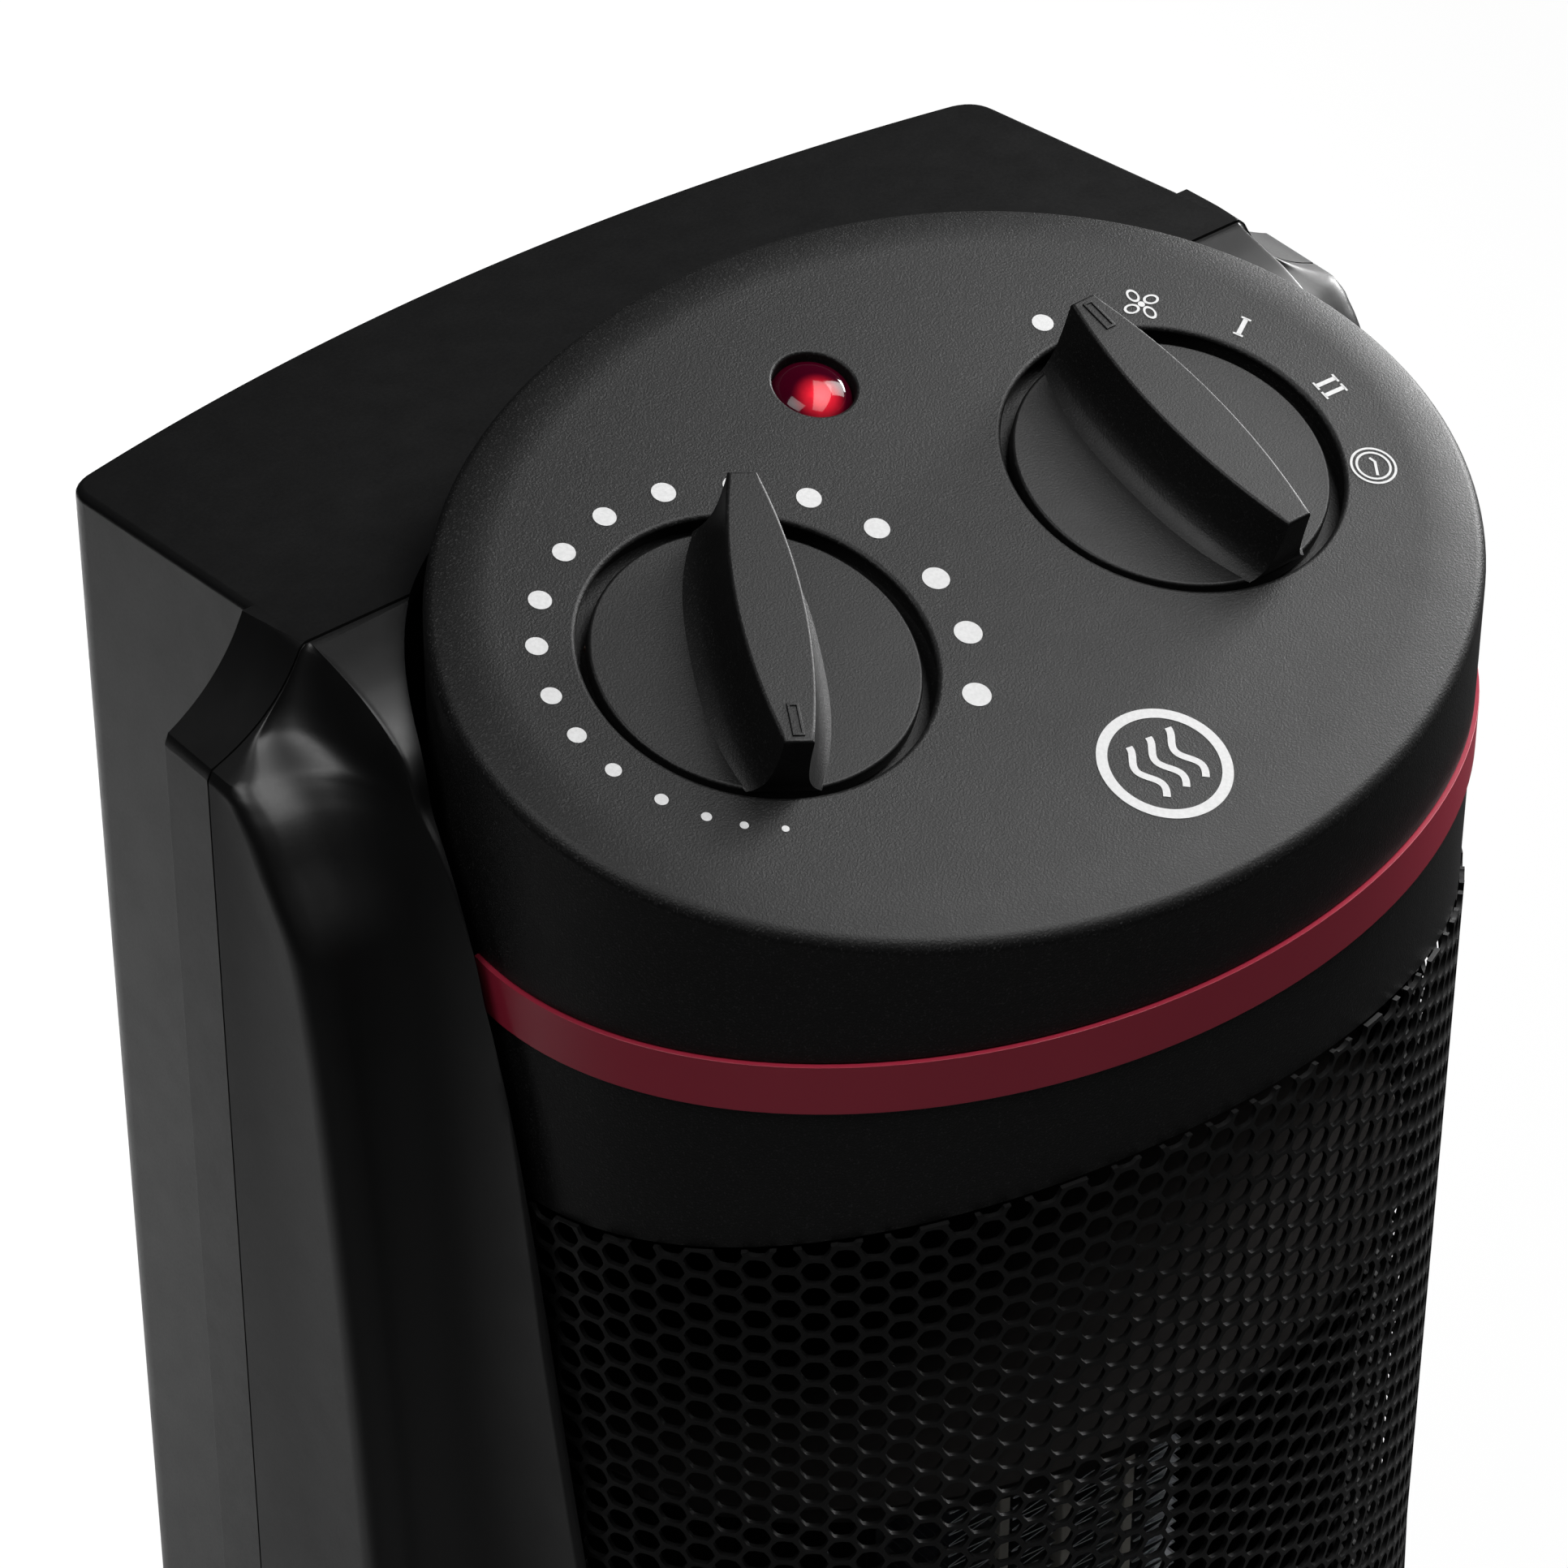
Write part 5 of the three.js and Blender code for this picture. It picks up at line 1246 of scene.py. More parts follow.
@dataclass
class ControlHead:
    """The tilted control plate with its skirt, the coloured stripe and the collar below it."""

    edge: float = 1.5
    crown_width: float = 9.0
    crown_drop: float = 1.9
    crown_fade: float = 0.7
    wall: float = 3.2
    plate: float = 3.0
    well_radius: float = 23.4
    well_depth: float = 4.0
    well_lip: tuple[float, float] = (0.7, 0.6)
    well_boss: float = 27.0
    lens_up: float = 33.0
    lens_radius: float = 5.5
    stripe_depth: float = 1.6
    stripe_proud: float = 0.6
    stripe_end: float = math.radians(5)

    def solid(self, inset: float, drop: float, low: float) -> Workpiece:
        """Build the filled form of the head.

        Args:
            inset: How far inside its side it lies.
            drop: How far below its plate it lies.
            low: Level of its lower end.

        Returns:
            The solid.
        """
        s = LAYOUT
        turns = [math.pi / 2 * i / 12 for i in range(13)]
        steps = [(self.edge * (1 - math.cos(turn)), self.edge * (1 - math.sin(turn))) for turn in turns]
        steps += [(self.edge + (self.crown_width - self.edge) * (i + 1) / 8, 0.0) for i in range(8)]
        sections = [s.oval(inset, low)]
        for back, lower in steps:
            fall = self.crown_drop * (1 - back / self.crown_width) ** 2
            sections.append([
                (x, y, s.plate_z + (y - s.column_y) * math.tan(s.tilt) - drop - lower
                 - fall * (1 - self.crown_fade * max(s.column_y - y, 0.0) / s.half_depth))
                for x, y, z in s.oval(inset + back, 0.0)
            ])
        return Workpiece().loft(sections)

    def hole(self, radius: float, deep: float, lip: tuple[float, float], sides: int, under: float) -> Workpiece:
        """Give the cutter of a hole with a rounded rim.

        Args:
            radius: The hole's radius.
            deep: Its depth.
            lip: Width and depth of its rounded rim.
            sides: Facets round it.
            under: How much wider it is below the rim.

        Returns:
            The cutter, on the plate's middle.
        """
        rim = [(radius + lip[0] * (1 - math.cos(t)), -lip[1] * (1 - math.sin(t)))
               for t in (math.pi / 2 * i / 6 for i in range(7))]
        wide = radius + under
        profile = [(0.0, -deep), (wide, -deep), (wide, -lip[1] - 0.5), *rim, (radius + lip[0], 2.0), (0.0, 2.0)]
        return Workpiece().lathe(profile, sides)

    def band(self, inner: float, outer: float, low: float, high: float, end: float) -> Workpiece:
        """Build a band round the column's front.

        Args:
            inner: How far its inner face lies inside the column's.
            outer: The same for its outer face.
            low: Its lower level.
            high: Its upper level.
            end: How far its ends reach past the stripe's.

        Returns:
            The band.
        """
        s = LAYOUT
        work = s.column(outer, low, high).meet(s.column(inner, low - 3, high + 3), Cut.TAKE)
        y = s.column_y + s.half_depth * math.sin(self.stripe_end) + end
        return work.slice((0.0, y, 0.0), (0.0, 1.0, 0.0))

    def cap(self) -> bpy.types.Object:
        """Build the control cap.

        Returns:
            The piece.
        """
        s = LAYOUT
        work = self.solid(0.0, 0.0, s.stripe_bottom)
        work.meet(self.solid(self.wall, self.plate, s.stripe_bottom - 3), Cut.TAKE)
        work.meet(self.band(self.stripe_depth + 0.3, -1.5, s.stripe_bottom - 3, s.stripe_top, 0.3), Cut.TAKE)
        for side in (-1, 1):
            place = s.on_plate(side * s.knob_across, s.knob_up)
            boss = Workpiece().rod(self.well_boss, -self.well_depth - 1.2, -self.plate / 2, sides=96)
            work.meet(boss.turn(place), Cut.ADD)
            work.meet(self.hole(self.well_radius, self.well_depth, self.well_lip, 96, 1.0).turn(place), Cut.TAKE)
            work.meet(Workpiece().rod(3.5, -9.0, 3.0).turn(place), Cut.TAKE)
        bezel = self.hole(self.lens_radius + 0.2, 6.0, (0.45, 0.45), 64, 0.0)
        work.meet(bezel.turn(s.on_plate(0.0, self.lens_up)), Cut.TAKE)
        return work.flatten(0.1).publish("control_cap_skin", "cap_plastic", Body.TOWER, "control_cap", crease=40)

    def stripe(self) -> bpy.types.Object:
        """Build the coloured stripe.

        Returns:
            The piece.
        """
        s = LAYOUT
        work = self.band(self.stripe_depth, -self.stripe_proud, s.stripe_bottom, s.stripe_top - 0.3, 0.0).flatten(0.1)
        work.round(3.0, 6, where=lambda spot, edge: spot.z < s.stripe_bottom + 1 and spot.y > s.column_y + 4.9
                   and abs(edge.verts[0].co.x - edge.verts[1].co.x) > 1)
        work.round(0.35, 4, 50)
        return work.publish("stripe_band", "stripe_plastic", Body.TOWER, "accent_stripe", crease=60)

    def collar(self) -> bpy.types.Object:
        """Build the collar above the grille.

        Returns:
            The piece.
        """
        s = LAYOUT
        top, side = s.stripe_bottom - 0.3, s.collar_low - s.arch_rise
        work = s.column(0.0, side, top).meet(s.column(s.wall, side - 3, top + 3), Cut.TAKE)
        work.meet(s.under_arch(s.collar_low, -s.arch_rise, side - 3), Cut.TAKE).flatten(0.1)
        work.round(0.4, 3, 50)
        return work.publish("collar_skin", "cap_plastic", Body.TOWER, "grille_collar", crease=40)

    def lens(self) -> bpy.types.Object:
        """Build the pilot lens.

        Returns:
            The piece.
        """
        r, top = self.lens_radius, 0.6
        dome = [(r * math.cos(t), top - 2.9 + 2.9 * math.sin(t)) for t in (math.pi / 2 * i / 12 for i in range(13))]
        profile = [(0.0, -4.8), (7.1, -4.8), (7.1, -3.4), (r, -3.4), *dome[:-1], (0.0, top)]
        work = Workpiece().lathe(profile, 64).turn(LAYOUT.on_plate(0.0, self.lens_up))
        return work.publish("pilot_lens_dome", "lens_plastic", Body.TOWER, "pilot_lens")

    def build(self) -> None:
        """Build all pieces of the head."""
        self.cap()
        self.stripe()
        self.collar()
        self.lens()


@dataclass
class Grille:
    """The honeycomb sheet round the front of the column."""

    pitch: float = 4.35
    web: float = 0.62
    thickness: float = 0.7
    wrap: float = math.radians(9)
    proud: float = 0.8

    def arc(self, steps: int = 720) -> list[tuple[float, float, float]]:
        """Measure the column's front from its left end.

        Args:
            steps: How finely it is measured.

        Returns:
            Rows of arc length, turn about the column's axis and half width.
        """
        s = LAYOUT
        start, span = math.pi - self.wrap, math.pi + 2 * self.wrap
        rows, length, last = [], 0.0, None
        for i in range(steps + 1):
            turn = start + span * i / steps
            here = Vector((s.half_width * math.cos(turn), s.half_depth * math.sin(turn)))
            length += 0.0 if last is None else (here - last).length
            rows.append((length, turn, here.x))
            last = here
        return rows

    def wrap_point(self, rows: Sequence[tuple[float, float, float]], along: float, deep: float) -> tuple[float, float]:
        """Give the place in plan of a point of the flat sheet.

        Args:
            rows: The measured arc.
            along: The point's arc length from the sheet's middle.
            deep: How far behind the face it lies.

        Returns:
            Its X and Y.
        """
        s = LAYOUT
        reach = min(max(along + rows[-1][0] / 2, 0.0), rows[-1][0])
        i = min(int(reach / rows[-1][0] * (len(rows) - 1)), len(rows) - 2)
        while rows[i][0] > reach and i > 0:
            i -= 1
        while rows[i + 1][0] < reach and i < len(rows) - 2:
            i += 1
        low, high = rows[i], rows[i + 1]
        share = (reach - low[0]) / (high[0] - low[0])
        turn = low[1] + (high[1] - low[1]) * share
        normal = Vector((math.cos(turn) / s.half_width, math.sin(turn) / s.half_depth)).normalized()
        return (
            s.half_width * math.cos(turn) - normal.x * deep,
            s.column_y + s.half_depth * math.sin(turn) - normal.y * deep,
        )

    def cell(self) -> Workpiece:
        """Build one cell: a hexagon with a rounded hole.

        Returns:
            The cell, flat in X and Z about the origin.
        """
        work = Workpiece()
        hole = (self.pitch - self.web) / 2
        outer = self.pitch / math.sqrt(3)
        big = work.ring([(outer * math.cos(math.tau * i / 6), 0.0, outer * math.sin(math.tau * i / 6))
                         for i in range(6)])
        small = work.ring([
            (hole * (1.07 if i % 2 == 0 else 1.0) * math.cos(math.tau * i / 12), 0.0,
             hole * (1.07 if i % 2 == 0 else 1.0) * math.sin(math.tau * i / 12)) for i in range(12)
        ])
        bmesh.ops.bridge_loops(work.mesh, edges=[*big, *small])
        return work

    def sheet(self) -> bpy.types.Object:
        """Build the wrapped sheet.

        Returns:
            The piece.
        """
        s = LAYOUT
        rows = self.arc()
        length = rows[-1][0]
        step = self.pitch * math.sqrt(3) / 2
        low, high = s.grille_low + s.gap, s.collar_low - s.gap
        columns = int(length / 4 / step) + 1
        lines = int((high - low + 2 * s.arch_rise) / 2 / self.pitch) + 1
        work = self.cell().repeat(2 * lines + 1, (0.0, 0.0, self.pitch))
        other = work.copy()
        bmesh.ops.translate(other.mesh, verts=other.mesh.verts, vec=(step, 0.0, self.pitch / 2))
        work.take(other).repeat(2 * columns + 1, (2 * step, 0.0, 0.0))
        middle = (low + high) / 2 - lines * self.pitch
        bmesh.ops.translate(work.mesh, verts=work.mesh.verts, vec=(-2 * columns * step, 0.0, middle))
        bmesh.ops.remove_doubles(work.mesh, verts=work.mesh.verts, dist=1e-3)
        return self.trim(work, rows, low, high)

    def trim(self, work: Workpiece, rows: list[tuple[float, float, float]], low: float, high: float) -> bpy.types.Object:
        """Cut the flat sheet along its arched edges, thicken and bend it.

        Args:
            work: The flat sheet.
            rows: The measured arc.
            low: Its lower edge in the middle.
            high: Its upper edge in the middle.

        Returns:
            The piece.
        """
        s = LAYOUT
        length = rows[-1][0]

        def rise(along: float) -> float:
            """Return how far an arched edge has risen at an arc length from the middle."""
            x, _ = self.wrap_point(rows, along, 0.0)
            return s.arch_rise * (x / s.half_width) ** 2

        for sign, edge, normal in ((-1, low, (0, 0, -1)), (1, high, (0, 0, 1))):
            for corner in work.mesh.verts:
                corner.co.z += sign * rise(corner.co.x)
            parts = [*work.mesh.verts, *work.mesh.edges, *work.mesh.faces]
            bmesh.ops.bisect_plane(work.mesh, geom=parts, plane_co=(0, 0, edge), plane_no=normal, clear_outer=True)
            for corner in work.mesh.verts:
                corner.co.z -= sign * rise(corner.co.x)
        for sign in (-1, 1):
            parts = [*work.mesh.verts, *work.mesh.edges, *work.mesh.faces]
            bmesh.ops.bisect_plane(
                work.mesh, geom=parts, plane_co=(sign * length / 2, 0, 0), plane_no=(sign, 0, 0), clear_outer=True,
            )
        bmesh.ops.recalc_face_normals(work.mesh, faces=work.mesh.faces)
        if sum(face.normal.y for face in work.mesh.faces) > 0:
            bmesh.ops.reverse_faces(work.mesh, faces=work.mesh.faces)
        bmesh.ops.solidify(work.mesh, geom=work.mesh.faces, thickness=self.thickness)
        deepest = min(corner.co.y for corner in work.mesh.verts)
        for corner in work.mesh.verts:
            x, y = self.wrap_point(rows, corner.co.x, corner.co.y - deepest - self.proud)
            corner.co.x, corner.co.y = x, y
        return work.publish("honeycomb_grille", "grille_paint", Body.TOWER, "front_grille", crease=50, even=False)

    def build(self) -> None:
        """Build the grille."""
        self.sheet()


# Knobs and prints on the control plate


@dataclass
class Knob:
    """A turning knob with a lens-shaped grip."""

    name: str
    node: str
    body: Body
    across: float
    rest: float
    radius: float = 21.7
    low: float = -3.6
    skirt: float = -1.0
    rim: float = 0.45
    height: float = 9.7
    top_edge: float = 0.45
    half_top: float = 4.6
    half_end: float = 1.95
    half_foot: float = 4.9
    half_base: float = 8.9
    half_length: float = 22.4
    foot_inset: float = 0.8

    def grip_line(self, spread: float, inset: float, z: float, steps: int = 30) -> list[Point]:
        """Give one level section of the grip.

        Args:
            spread: How far it has widened from its top to its foot, from 0 to 1.
            inset: How far inside its side it lies.
            z: Its level.
            steps: Steps along each side.

        Returns:
            Its points.
        """
        middle = self.half_top + (self.half_base - self.half_top) * spread - inset
        end = self.half_end + (self.half_foot - self.half_end) * spread - inset
        half_length = self.half_length - self.foot_inset * spread - inset
        places = [1 - 2 * i / steps for i in range(steps + 1)]
        side = [(place, end + (middle - end) * (1 - abs(place) ** (2 + 0.6 * spread))) for place in places]
        return [
            *((place * half_length, across, z) for place, across in side),
            *((-place * half_length, -across, z) for place, across in side),
        ]

    def build(self) -> bpy.types.Object:
        """Build the knob.

        Returns:
            The piece.
        """
        arc = [(self.radius - self.rim * (1 - math.cos(t)), self.skirt - self.rim * (1 - math.sin(t)))
               for t in (math.pi / 2 * i / 6 for i in range(7))]
        profile = [(0.0, self.low), (self.radius - 0.4, self.low), (self.radius, self.low + 0.4), *arc,
                   (0.0, self.skirt)]
        work = Workpiece().lathe(profile, 128)
        cove = eased([(0.0, 1.0), (0.06, 0.72), (0.15, 0.45), (0.3, 0.22), (0.5, 0.09), (0.75, 0.02), (0.93, 0.0)], 4)
        root = self.skirt - 0.12
        rings = []
        for rise, spread in cove:
            rings.append(self.grip_line(spread, 0.0, root + (self.height - root) * rise))
        for turn in (math.pi / 2 * i / 4 for i in range(5)):
            inset, lower = self.top_edge * (1 - math.cos(turn)), self.top_edge * (1 - math.sin(turn))
            rings.append(self.grip_line(0.0, inset, self.height - lower))
        work.meet(Workpiece().loft(rings), Cut.ADD)
        mark = Workpiece().block((16.3, -0.8, self.height - 0.3), (21.5, 0.8, self.height + 0.22))
        mark.round(0.1, 2)
        inner = Workpiece().block((16.65, -0.45, self.height + 0.02), (21.15, 0.45, self.height + 1))
        work.meet(mark.meet(inner, Cut.TAKE), Cut.ADD).flatten(0.1)
        work.turn(LAYOUT.on_plate(self.across, LAYOUT.knob_up, self.rest))
        return work.publish(self.name, "knob_plastic", self.body, self.node, crease=38)


@dataclass
class PlatePrints:
    """The white marks printed round the knobs and on the plate's front."""

    lift: float = 0.015
    ink: float = 0.05
    dial: tuple[float, float] = (-LAYOUT.knob_across, LAYOUT.knob_up)
    dial_radius: float = 28.5
    choice: tuple[float, float] = (LAYOUT.knob_across, LAYOUT.knob_up)
    choice_radius: float = 27.6
    dots: tuple[tuple[float, float], ...] = (
        (239.7, 1.0), (229.2, 1.15), (219.5, 1.4), (207.4, 1.8), (192.8, 2.15), (179.0, 2.5), (165.2, 2.75),
        (148.7, 2.95), (133.0, 3.1), (114.7, 3.1), (97.3, 3.15), (78.4, 3.3), (58.6, 3.35), (38.9, 3.4),
        (19.1, 3.5), (-2.6, 3.7), (-21.9, 3.8), (-42.9, 3.85),
    )
    sign: tuple[float, float] = (0.0, -41.1)
    sign_radius: float = 9.0

    def spot(self, centre: tuple[float, float], radius: float, degrees: float) -> tuple[float, float, float]:
        """Return a place on the plate at a turn round a centre, with the turn in radians."""
        turn = math.radians(degrees)
        return centre[0] + radius * math.cos(turn), centre[1] + radius * math.sin(turn), turn

    def disc(self, work: Workpiece, radius: float, place: Matrix, sides: int = 40) -> None:
        """Print a filled disc.

        Args:
            work: The mesh it is added to.
            radius: Its radius.
            place: Its place on the plate.
            sides: Corners round it.
        """
        bmesh.ops.create_circle(work.mesh, cap_ends=True, segments=sides, radius=radius, matrix=place)

    def hoop(self, work: Workpiece, outer: float, stroke: float, place: Matrix, sides: int = 72) -> None:
        """Print a ring.

        Args:
            work: The mesh it is added to.
            outer: Its outer radius.
            stroke: Its width.
            place: Its place on the plate.
            sides: Corners round it.
        """
        big = bmesh.ops.create_circle(work.mesh, segments=sides, radius=outer, matrix=place)["verts"]
        small = bmesh.ops.create_circle(work.mesh, segments=sides, radius=outer - stroke, matrix=place)["verts"]
        edges = {edge for corner in [*big, *small] for edge in corner.link_edges}
        bmesh.ops.bridge_loops(work.mesh, edges=list(edges))

    def stroke(self, work: Workpiece, line: Sequence[tuple[float, float]], width: float, place: Matrix) -> None:
        """Print a line of even width.

        Args:
            work: The mesh it is added to.
            line: Its points.
            width: Its width.
            place: Its place on the plate.
        """
        points = [Vector(point) for point in line]
        sides: list[list[Point]] = [[], []]
        for i, point in enumerate(points):
            along = (points[min(i + 1, len(points) - 1)] - points[max(i - 1, 0)]).normalized()
            across = Vector((-along.y, along.x)) * width / 2
            for side, shift in zip(sides, (across, -across)):
                side.append((place @ Vector((*(point + shift), 0.0)))[:])
        work.fill(work.ring([*sides[0], *reversed(sides[1])]))

    def place(self, across: float, up: float, turn: float = 0.0) -> Matrix:
        """Return a printed mark's place just above the plate."""
        return LAYOUT.on_plate(across, up, turn) @ Matrix.Translation((0.0, 0.0, self.lift))

    def press(self, work: Workpiece, name: str) -> None:
        """Give the ink its thickness and publish it.

        Args:
            work: The flat marks.
            name: The piece's name.
        """
        faces = list(work.mesh.faces)
        up = LAYOUT.on_plate().to_3x3() @ Vector((0.0, 0.0, 1.0))
        for face in faces:
            face.normal_update()
            if face.normal.dot(up) < 0:
                face.normal_flip()
        raised = bmesh.ops.extrude_face_region(work.mesh, geom=faces)["geom"]
        corners = [part for part in raised if isinstance(part, bmesh.types.BMVert)]
        bmesh.ops.translate(work.mesh, verts=corners, vec=up * self.ink)
        work.publish(name, "white_plastic", Body.TOWER, even=False, look="print")

    def dial_dots(self) -> None:
        """Print the growing dots round the thermostat knob."""
        work = Workpiece()
        for degrees, size in self.dots:
            x, y, _ = self.spot(self.dial, self.dial_radius, degrees)
            self.disc(work, size / 2, self.place(x, y))
        self.press(work, "dial_dots")

    def choices(self) -> None:
        """Print the marks round the function knob."""
        work = Workpiece()
        x, y, turn = self.spot(self.choice, self.choice_radius, 91)
        self.disc(work, 1.5, self.place(x, y))
        x, y, turn = self.spot(self.choice, self.choice_radius, 59.5)
        for petal in range(4):
            place = self.place(x, y, turn + 0.4 + petal * math.pi / 2)
            self.hoop(work, 1.0, 0.34, place @ Matrix.Translation((1.75, 0.3, 0.0)) @ Matrix.Diagonal((1.2, 0.86, 1.0, 1.0)), 32)
        self.disc(work, 0.5, self.place(x, y))
        for degrees, shifts in ((30.0, (0.0,)), (-1.4, (-0.95, 0.95))):
            x, y, turn = self.spot(self.choice, self.choice_radius, degrees)
            for shift in shifts:
                place = self.place(x, y, turn)
                self.stroke(work, [(-1.7, shift), (1.7, shift)], 0.66, place)
                for end in (-1.7, 1.7):
                    self.stroke(work, [(end, shift - 0.72), (end, shift + 0.72)], 0.32, place)
        x, y, turn = self.spot(self.choice, self.choice_radius, -32)
        self.hoop(work, 3.25, 0.34, self.place(x, y))
        self.hoop(work, 2.5, 0.34, self.place(x, y))
        self.stroke(work, [(-0.37, 1.4), (0.31, 0.7), (0.31, -1.7)], 0.4, self.place(x, y, turn))
        self.press(work, "function_marks")

    def warm_sign(self) -> None:
        """Print a ring with three rising waves, a plain sign for warm air."""
        work = Workpiece()
        place = self.place(*self.sign)
        self.hoop(work, self.sign_radius, 1.5, place, 96)
        for shift in (-3.3, 0.0, 3.3):
            wave = [(shift + 0.85 * math.sin(math.tau * i / 24 * 1.25), -4.4 + 8.8 * i / 24) for i in range(25)]
            self.stroke(work, wave, 1.0, place)
        self.press(work, "warm_air_sign")

    def build(self) -> None:
        """Print all marks."""
        self.dial_dots()
        self.choices()
        self.warm_sign()


# Inside the tower


@dataclass
class HeatingElement:
    """The fins between the ceramic strips."""

    fold: float = 2.1
    sheet: float = 0.16
    inset: float = 0.35

    def bank(self, number: int) -> None:
        """Build one bank of folded fins in the space of its node.

        Args:
            number: The bank's number, from 1.
        """
        node = f"fin_bank_{number}"
        low, high = (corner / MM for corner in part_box(node))
        folds = int((high.z - low.z - 1) / (self.fold / 2))
        left, right = low.x + self.inset, high.x - self.inset
        line = [(left if i % 2 else right, low.y + 0.3, low.z + 0.5 + i * (high.z - low.z - 1) / folds)
                for i in range(folds + 1)]
        work = Workpiece()
        corners = [work.mesh.verts.new(point) for point in line]
        edges = [work.mesh.edges.new(pair) for pair in zip(corners, corners[1:])]
        bmesh.ops.bevel(
            work.mesh, geom=corners[1:-1], offset=0.35, offset_type="OFFSET", segments=3, profile=0.5,
            affect="VERTICES", material=-1,
        )
        pushed = bmesh.ops.extrude_edge_only(work.mesh, edges=list(work.mesh.edges))["geom"]
        moved = [part for part in pushed if isinstance(part, bmesh.types.BMVert)]
        bmesh.ops.translate(work.mesh, verts=moved, vec=(0.0, high.y - low.y - 0.6, 0.0))
        bmesh.ops.recalc_face_normals(work.mesh, faces=work.mesh.faces)
        bmesh.ops.solidify(work.mesh, geom=work.mesh.faces, thickness=self.sheet)
        work.publish(f"folded_fins_{number}", "aluminium", Body.TOWER, node, even=False)

    def build(self) -> None:
        """Build the four banks."""
        for number in range(1, 5):
            self.bank(number)


# Swivel base


@dataclass
class SwivelBase:
    """The round foot that the tower turns on."""

    radius: float = 106.0
    low: float = 3.0
    rim: float = 6.0
    deck_radius: float = 84.0
    deck_top: float = 29.6
    wall: float = 2.6
    neck: float = 27.0

    def arc(self, inset: float, steps: int = 20) -> list[tuple[float, float]]:
        """Give the dome's quarter round from the rim to the deck.

        Args:
            inset: How far inside the skin it lies.
            steps: How many steps it has.

        Returns:
            Its points as radius and height.
        """
        start, top = self.low + self.rim, self.deck_top - inset
        wide = self.radius - inset - self.deck_radius
        turns = [math.pi / 2 * i / steps for i in range(steps + 1)]
        return [(self.deck_radius + wide * math.cos(t), start + (top - start) * math.sin(t)) for t in turns]

    def cover(self) -> bpy.types.Object:
        """Build the domed cover.

        Returns:
            The piece.
        """
        skin = self.radius - self.wall
        profile = [
            (self.neck, self.deck_top - self.wall), *reversed(self.arc(self.wall)), (skin, self.low),
            (self.radius - 0.8, self.low), (self.radius - 0.2, self.low + 0.2), (self.radius, self.low + 0.8),
            *self.arc(0.0), (self.neck + 0.8, self.deck_top), (self.neck + 0.2, self.deck_top - 0.2),
            (self.neck, self.deck_top - 0.8),
        ]
        work = Workpiece().lathe(profile, 160, closed=True)
        low, high = (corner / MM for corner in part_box("cord_gland"))
        bore = Workpiece().rod(5.5, -(high.y + 4), -(low.y - 2), (0.0, (low.z + high.z) / 2), 48)
        work.meet(bore.turn(Matrix.Rotation(math.pi / 2, 4, "X")), Cut.TAKE)
        return work.flatten(0.1).publish("base_dome", "housing_plastic", Body.BASE, "base_cover")

    def build(self) -> None:
        """Build the cover."""
        self.cover()


# Duct sheets inside the column that take the dark grey finish, whose colour is painted shade of the column's inside.
SHADED_DUCT_NODES = {"duct_floor": "painted_shade_sheet", "duct_ceiling": "painted_shade_sheet", "fan_scroll": "painted_shade_sheet",
                "fan_tongue": "painted_shade_sheet"}


@dataclass
class CarriedNodes:
    """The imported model's own solids that stay, each with a finish and softened edges."""

    slots: dict[str, str]
    radius: float = 0.22

    def dress(self) -> None:
        """Give every solid that still shows its material and its rounded edges."""
        for name, node in sorted(frame["nodes"].items()):
            if node.hide_render:
                continue
            # The duct sheets take the finish of painted shade in place of their own slot.
            slot = SHADED_DUCT_NODES.get(name, self.slots[name])
            node.data.materials.clear()
            node.data.materials.append(PALETTE.material(slot))
            weld = node.modifiers.new("weld", "WELD")
            weld.merge_threshold = 1e-6
            edges = node.modifiers.new("soft edges", "BEVEL")
            edges.width, edges.segments, edges.limit_method = self.radius * MM, 2, "ANGLE"
            edges.angle_limit = math.radians(35)
            LOG.info("%s: dressed as %s", name, slot)


# Studio


@dataclass
class Lamp:
    """One soft lamp aimed at the heater."""

    name: str
    place: Point
    aim: Point
    size: tuple[float, float]
    power: float
    spread: float

    def build(self) -> None:
        """Hang the lamp."""
        data = bpy.data.lights.new(self.name, "AREA")
        data.shape, data.size, data.size_y = "RECTANGLE", *self.size
        data.energy, data.spread = self.power, math.radians(self.spread)
        lamp = bpy.data.objects.new(self.name, data)
        bpy.context.scene.collection.objects.link(lamp)
        back = (Vector(self.place) - Vector(self.aim)).normalized()
        lamp.matrix_world = Matrix.Translation(self.place) @ back.to_track_quat("Z", "Y").to_matrix().to_4x4()


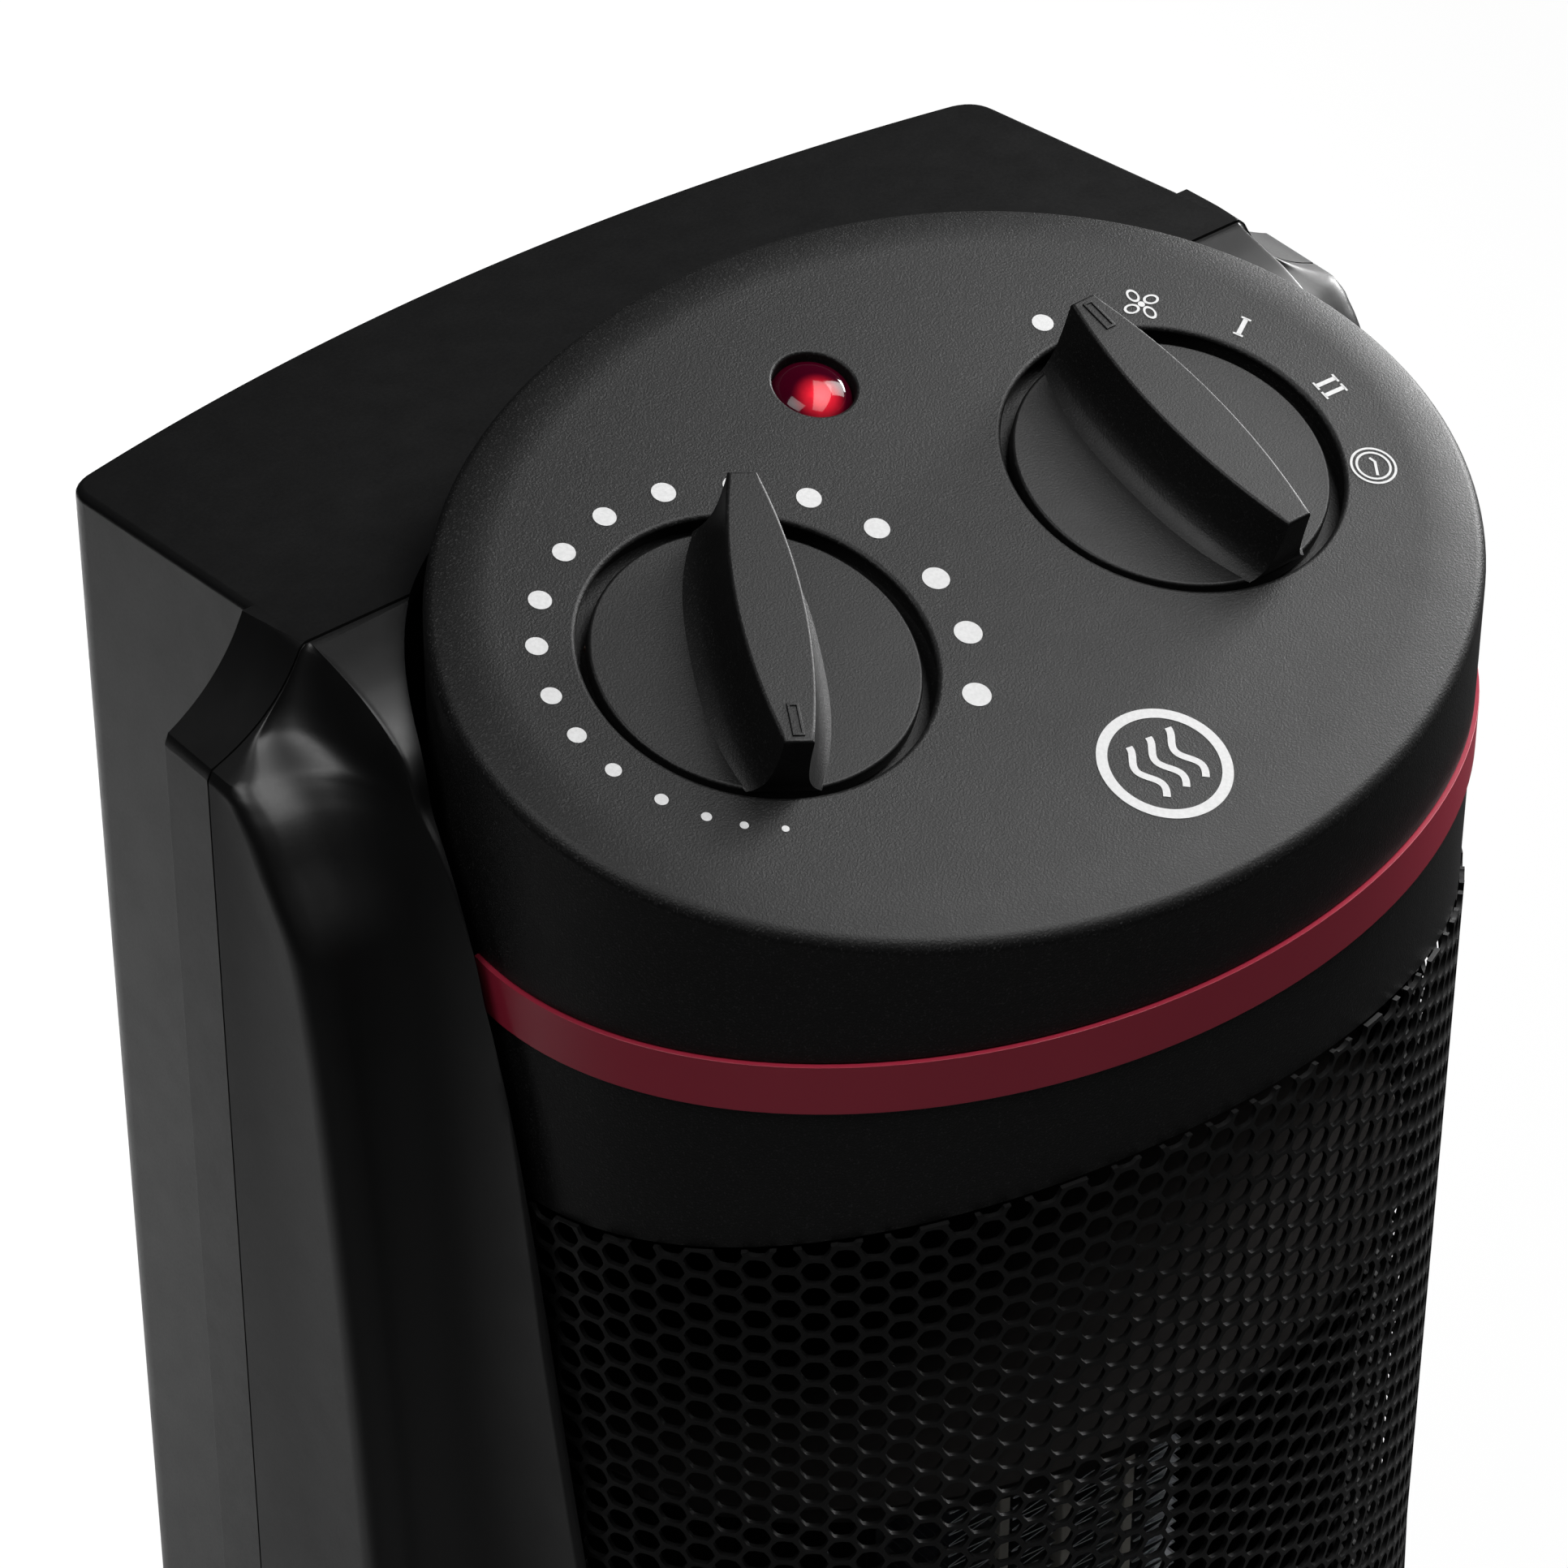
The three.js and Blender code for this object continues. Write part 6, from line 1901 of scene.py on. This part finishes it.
@dataclass
class Studio:
    """The floor, the lamps and the camera."""

    azimuth: float = math.radians(-38.82)
    elevation: float = math.radians(37.86)
    roll: float = math.radians(0.24)
    lens: float = 142.35
    stand: Point = (-0.4294, -0.5165, 0.8535)
    lamps: tuple[Lamp, ...] = (
        Lamp("overhead", (0.15, -0.14, 0.78), (0.0, -0.03, 0.385), (0.6, 0.2), 0.85, 100),
        Lamp("overhead_right", (0.48, 0.0, 0.70), (0.03, -0.02, 0.385), (0.25, 0.3), 0.62, 100),
        Lamp("overhead_left", (-0.28, -0.05, 0.80), (0.0, -0.03, 0.385), (0.3, 0.3), 0.45, 100),
        Lamp("rim_right", (0.75, 0.12, 0.52), (0.05, -0.02, 0.385), (0.25, 0.2), 0.62, 60),
        Lamp("rim_back", (0.85, 0.40, 0.46), (0.06, -0.02, 0.38), (0.2, 0.15), 0.1, 50),
        Lamp("floor_left", (-0.55, 0.55, 0.9), (-0.46, 0.46, 0.0), (0.3, 0.3), 0.36, 60),
        Lamp("floor_near", (-0.30, 0.34, 0.6), (-0.26, 0.30, 0.0), (0.2, 0.2), 0.4, 60),
        Lamp("floor_behind", (0.15, 0.70, 0.9), (0.12, 0.62, 0.0), (0.3, 0.3), 5.4, 60),
    )

    def camera(self) -> None:
        """Set up the camera at the photograph's angle."""
        data = bpy.data.cameras.new("camera")
        data.sensor_width, data.lens = 36.0, self.lens
        data.clip_start, data.clip_end = 0.05, 50.0
        camera = bpy.data.objects.new("camera", data)
        bpy.context.scene.collection.objects.link(camera)
        turn, rise = self.azimuth, self.elevation
        back = Vector((math.sin(turn) * math.cos(rise), -math.cos(turn) * math.cos(rise), math.sin(rise)))
        right = Vector((math.cos(turn), math.sin(turn), 0.0))
        axes = Matrix((right, back.cross(right), back)).transposed().to_4x4()
        camera.matrix_world = Matrix.Translation(self.stand) @ axes @ Matrix.Rotation(self.roll, 4, "Z")
        bpy.context.scene.camera = camera

    def floor(self) -> None:
        """Lay the pale floor."""
        work = Workpiece()
        bmesh.ops.create_grid(work.mesh, x_segments=1, y_segments=1, size=12.0)
        floor = work.object("floor")
        paint = Paint("floor")
        spot = paint.place()
        shade = paint.noise(spot, 400.0, 2.0)
        lit = paint.node("ShaderNodeBsdfPrincipled", None, {
            "Base Color": paint.blend(shade, grey(150), grey(156)), "Roughness": 0.8,
        })
        white = paint.node("ShaderNodeEmission", None, {"Color": (1.0, 1.0, 1.0, 1.0), "Strength": 1.08})
        seen = Signal(paint, paint.node("ShaderNodeLightPath", output="Is Camera Ray"))
        paint.close(paint.node("ShaderNodeMixShader", None, {0: seen * 0.9, 1: lit, 2: white}))
        floor.data.materials.append(paint.material)

    def sky(self) -> None:
        """Light the room's air evenly and dimly."""
        world = bpy.data.worlds.new("room")
        world.use_nodes = True
        bpy.context.scene.world = world
        world.node_tree.nodes["Background"].inputs["Color"].default_value = (0.9, 0.93, 1.0, 1.0)
        world.node_tree.nodes["Background"].inputs["Strength"].default_value = 0.02

    def build(self) -> None:
        """Set up the whole studio."""
        self.camera()
        self.floor()
        self.sky()
        for lamp in self.lamps:
            lamp.build()
        scene = bpy.context.scene
        scene.view_settings.view_transform = "Standard"


def node_slots() -> dict[str, str]:
    """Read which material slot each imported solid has.

    Returns:
        Slot names by node name.
    """
    return {part["node"]: part["material_slot"] for part in frame["record"]["subparts"]}


def main() -> None:
    """Build the studio, then each sub-assembly in order."""
    logging.basicConfig(level=logging.INFO, format="%(message)s")
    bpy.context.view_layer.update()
    Studio().build()
    RearHousing().build()
    FrontHousing().build()
    ControlHead().build()
    Grille().build()
    Knob("thermostat_knob_skin", "thermostat_knob", Body.THERMOSTAT, -LAYOUT.knob_across, math.radians(-118.0)).build()
    Knob("selector_knob_skin", "selector_knob", Body.SELECTOR, LAYOUT.knob_across, math.radians(91)).build()
    PlatePrints().build()
    HeatingElement().build()
    SwivelBase().build()
    CarriedNodes(node_slots()).dress()


if __name__ == "__main__":
    main()
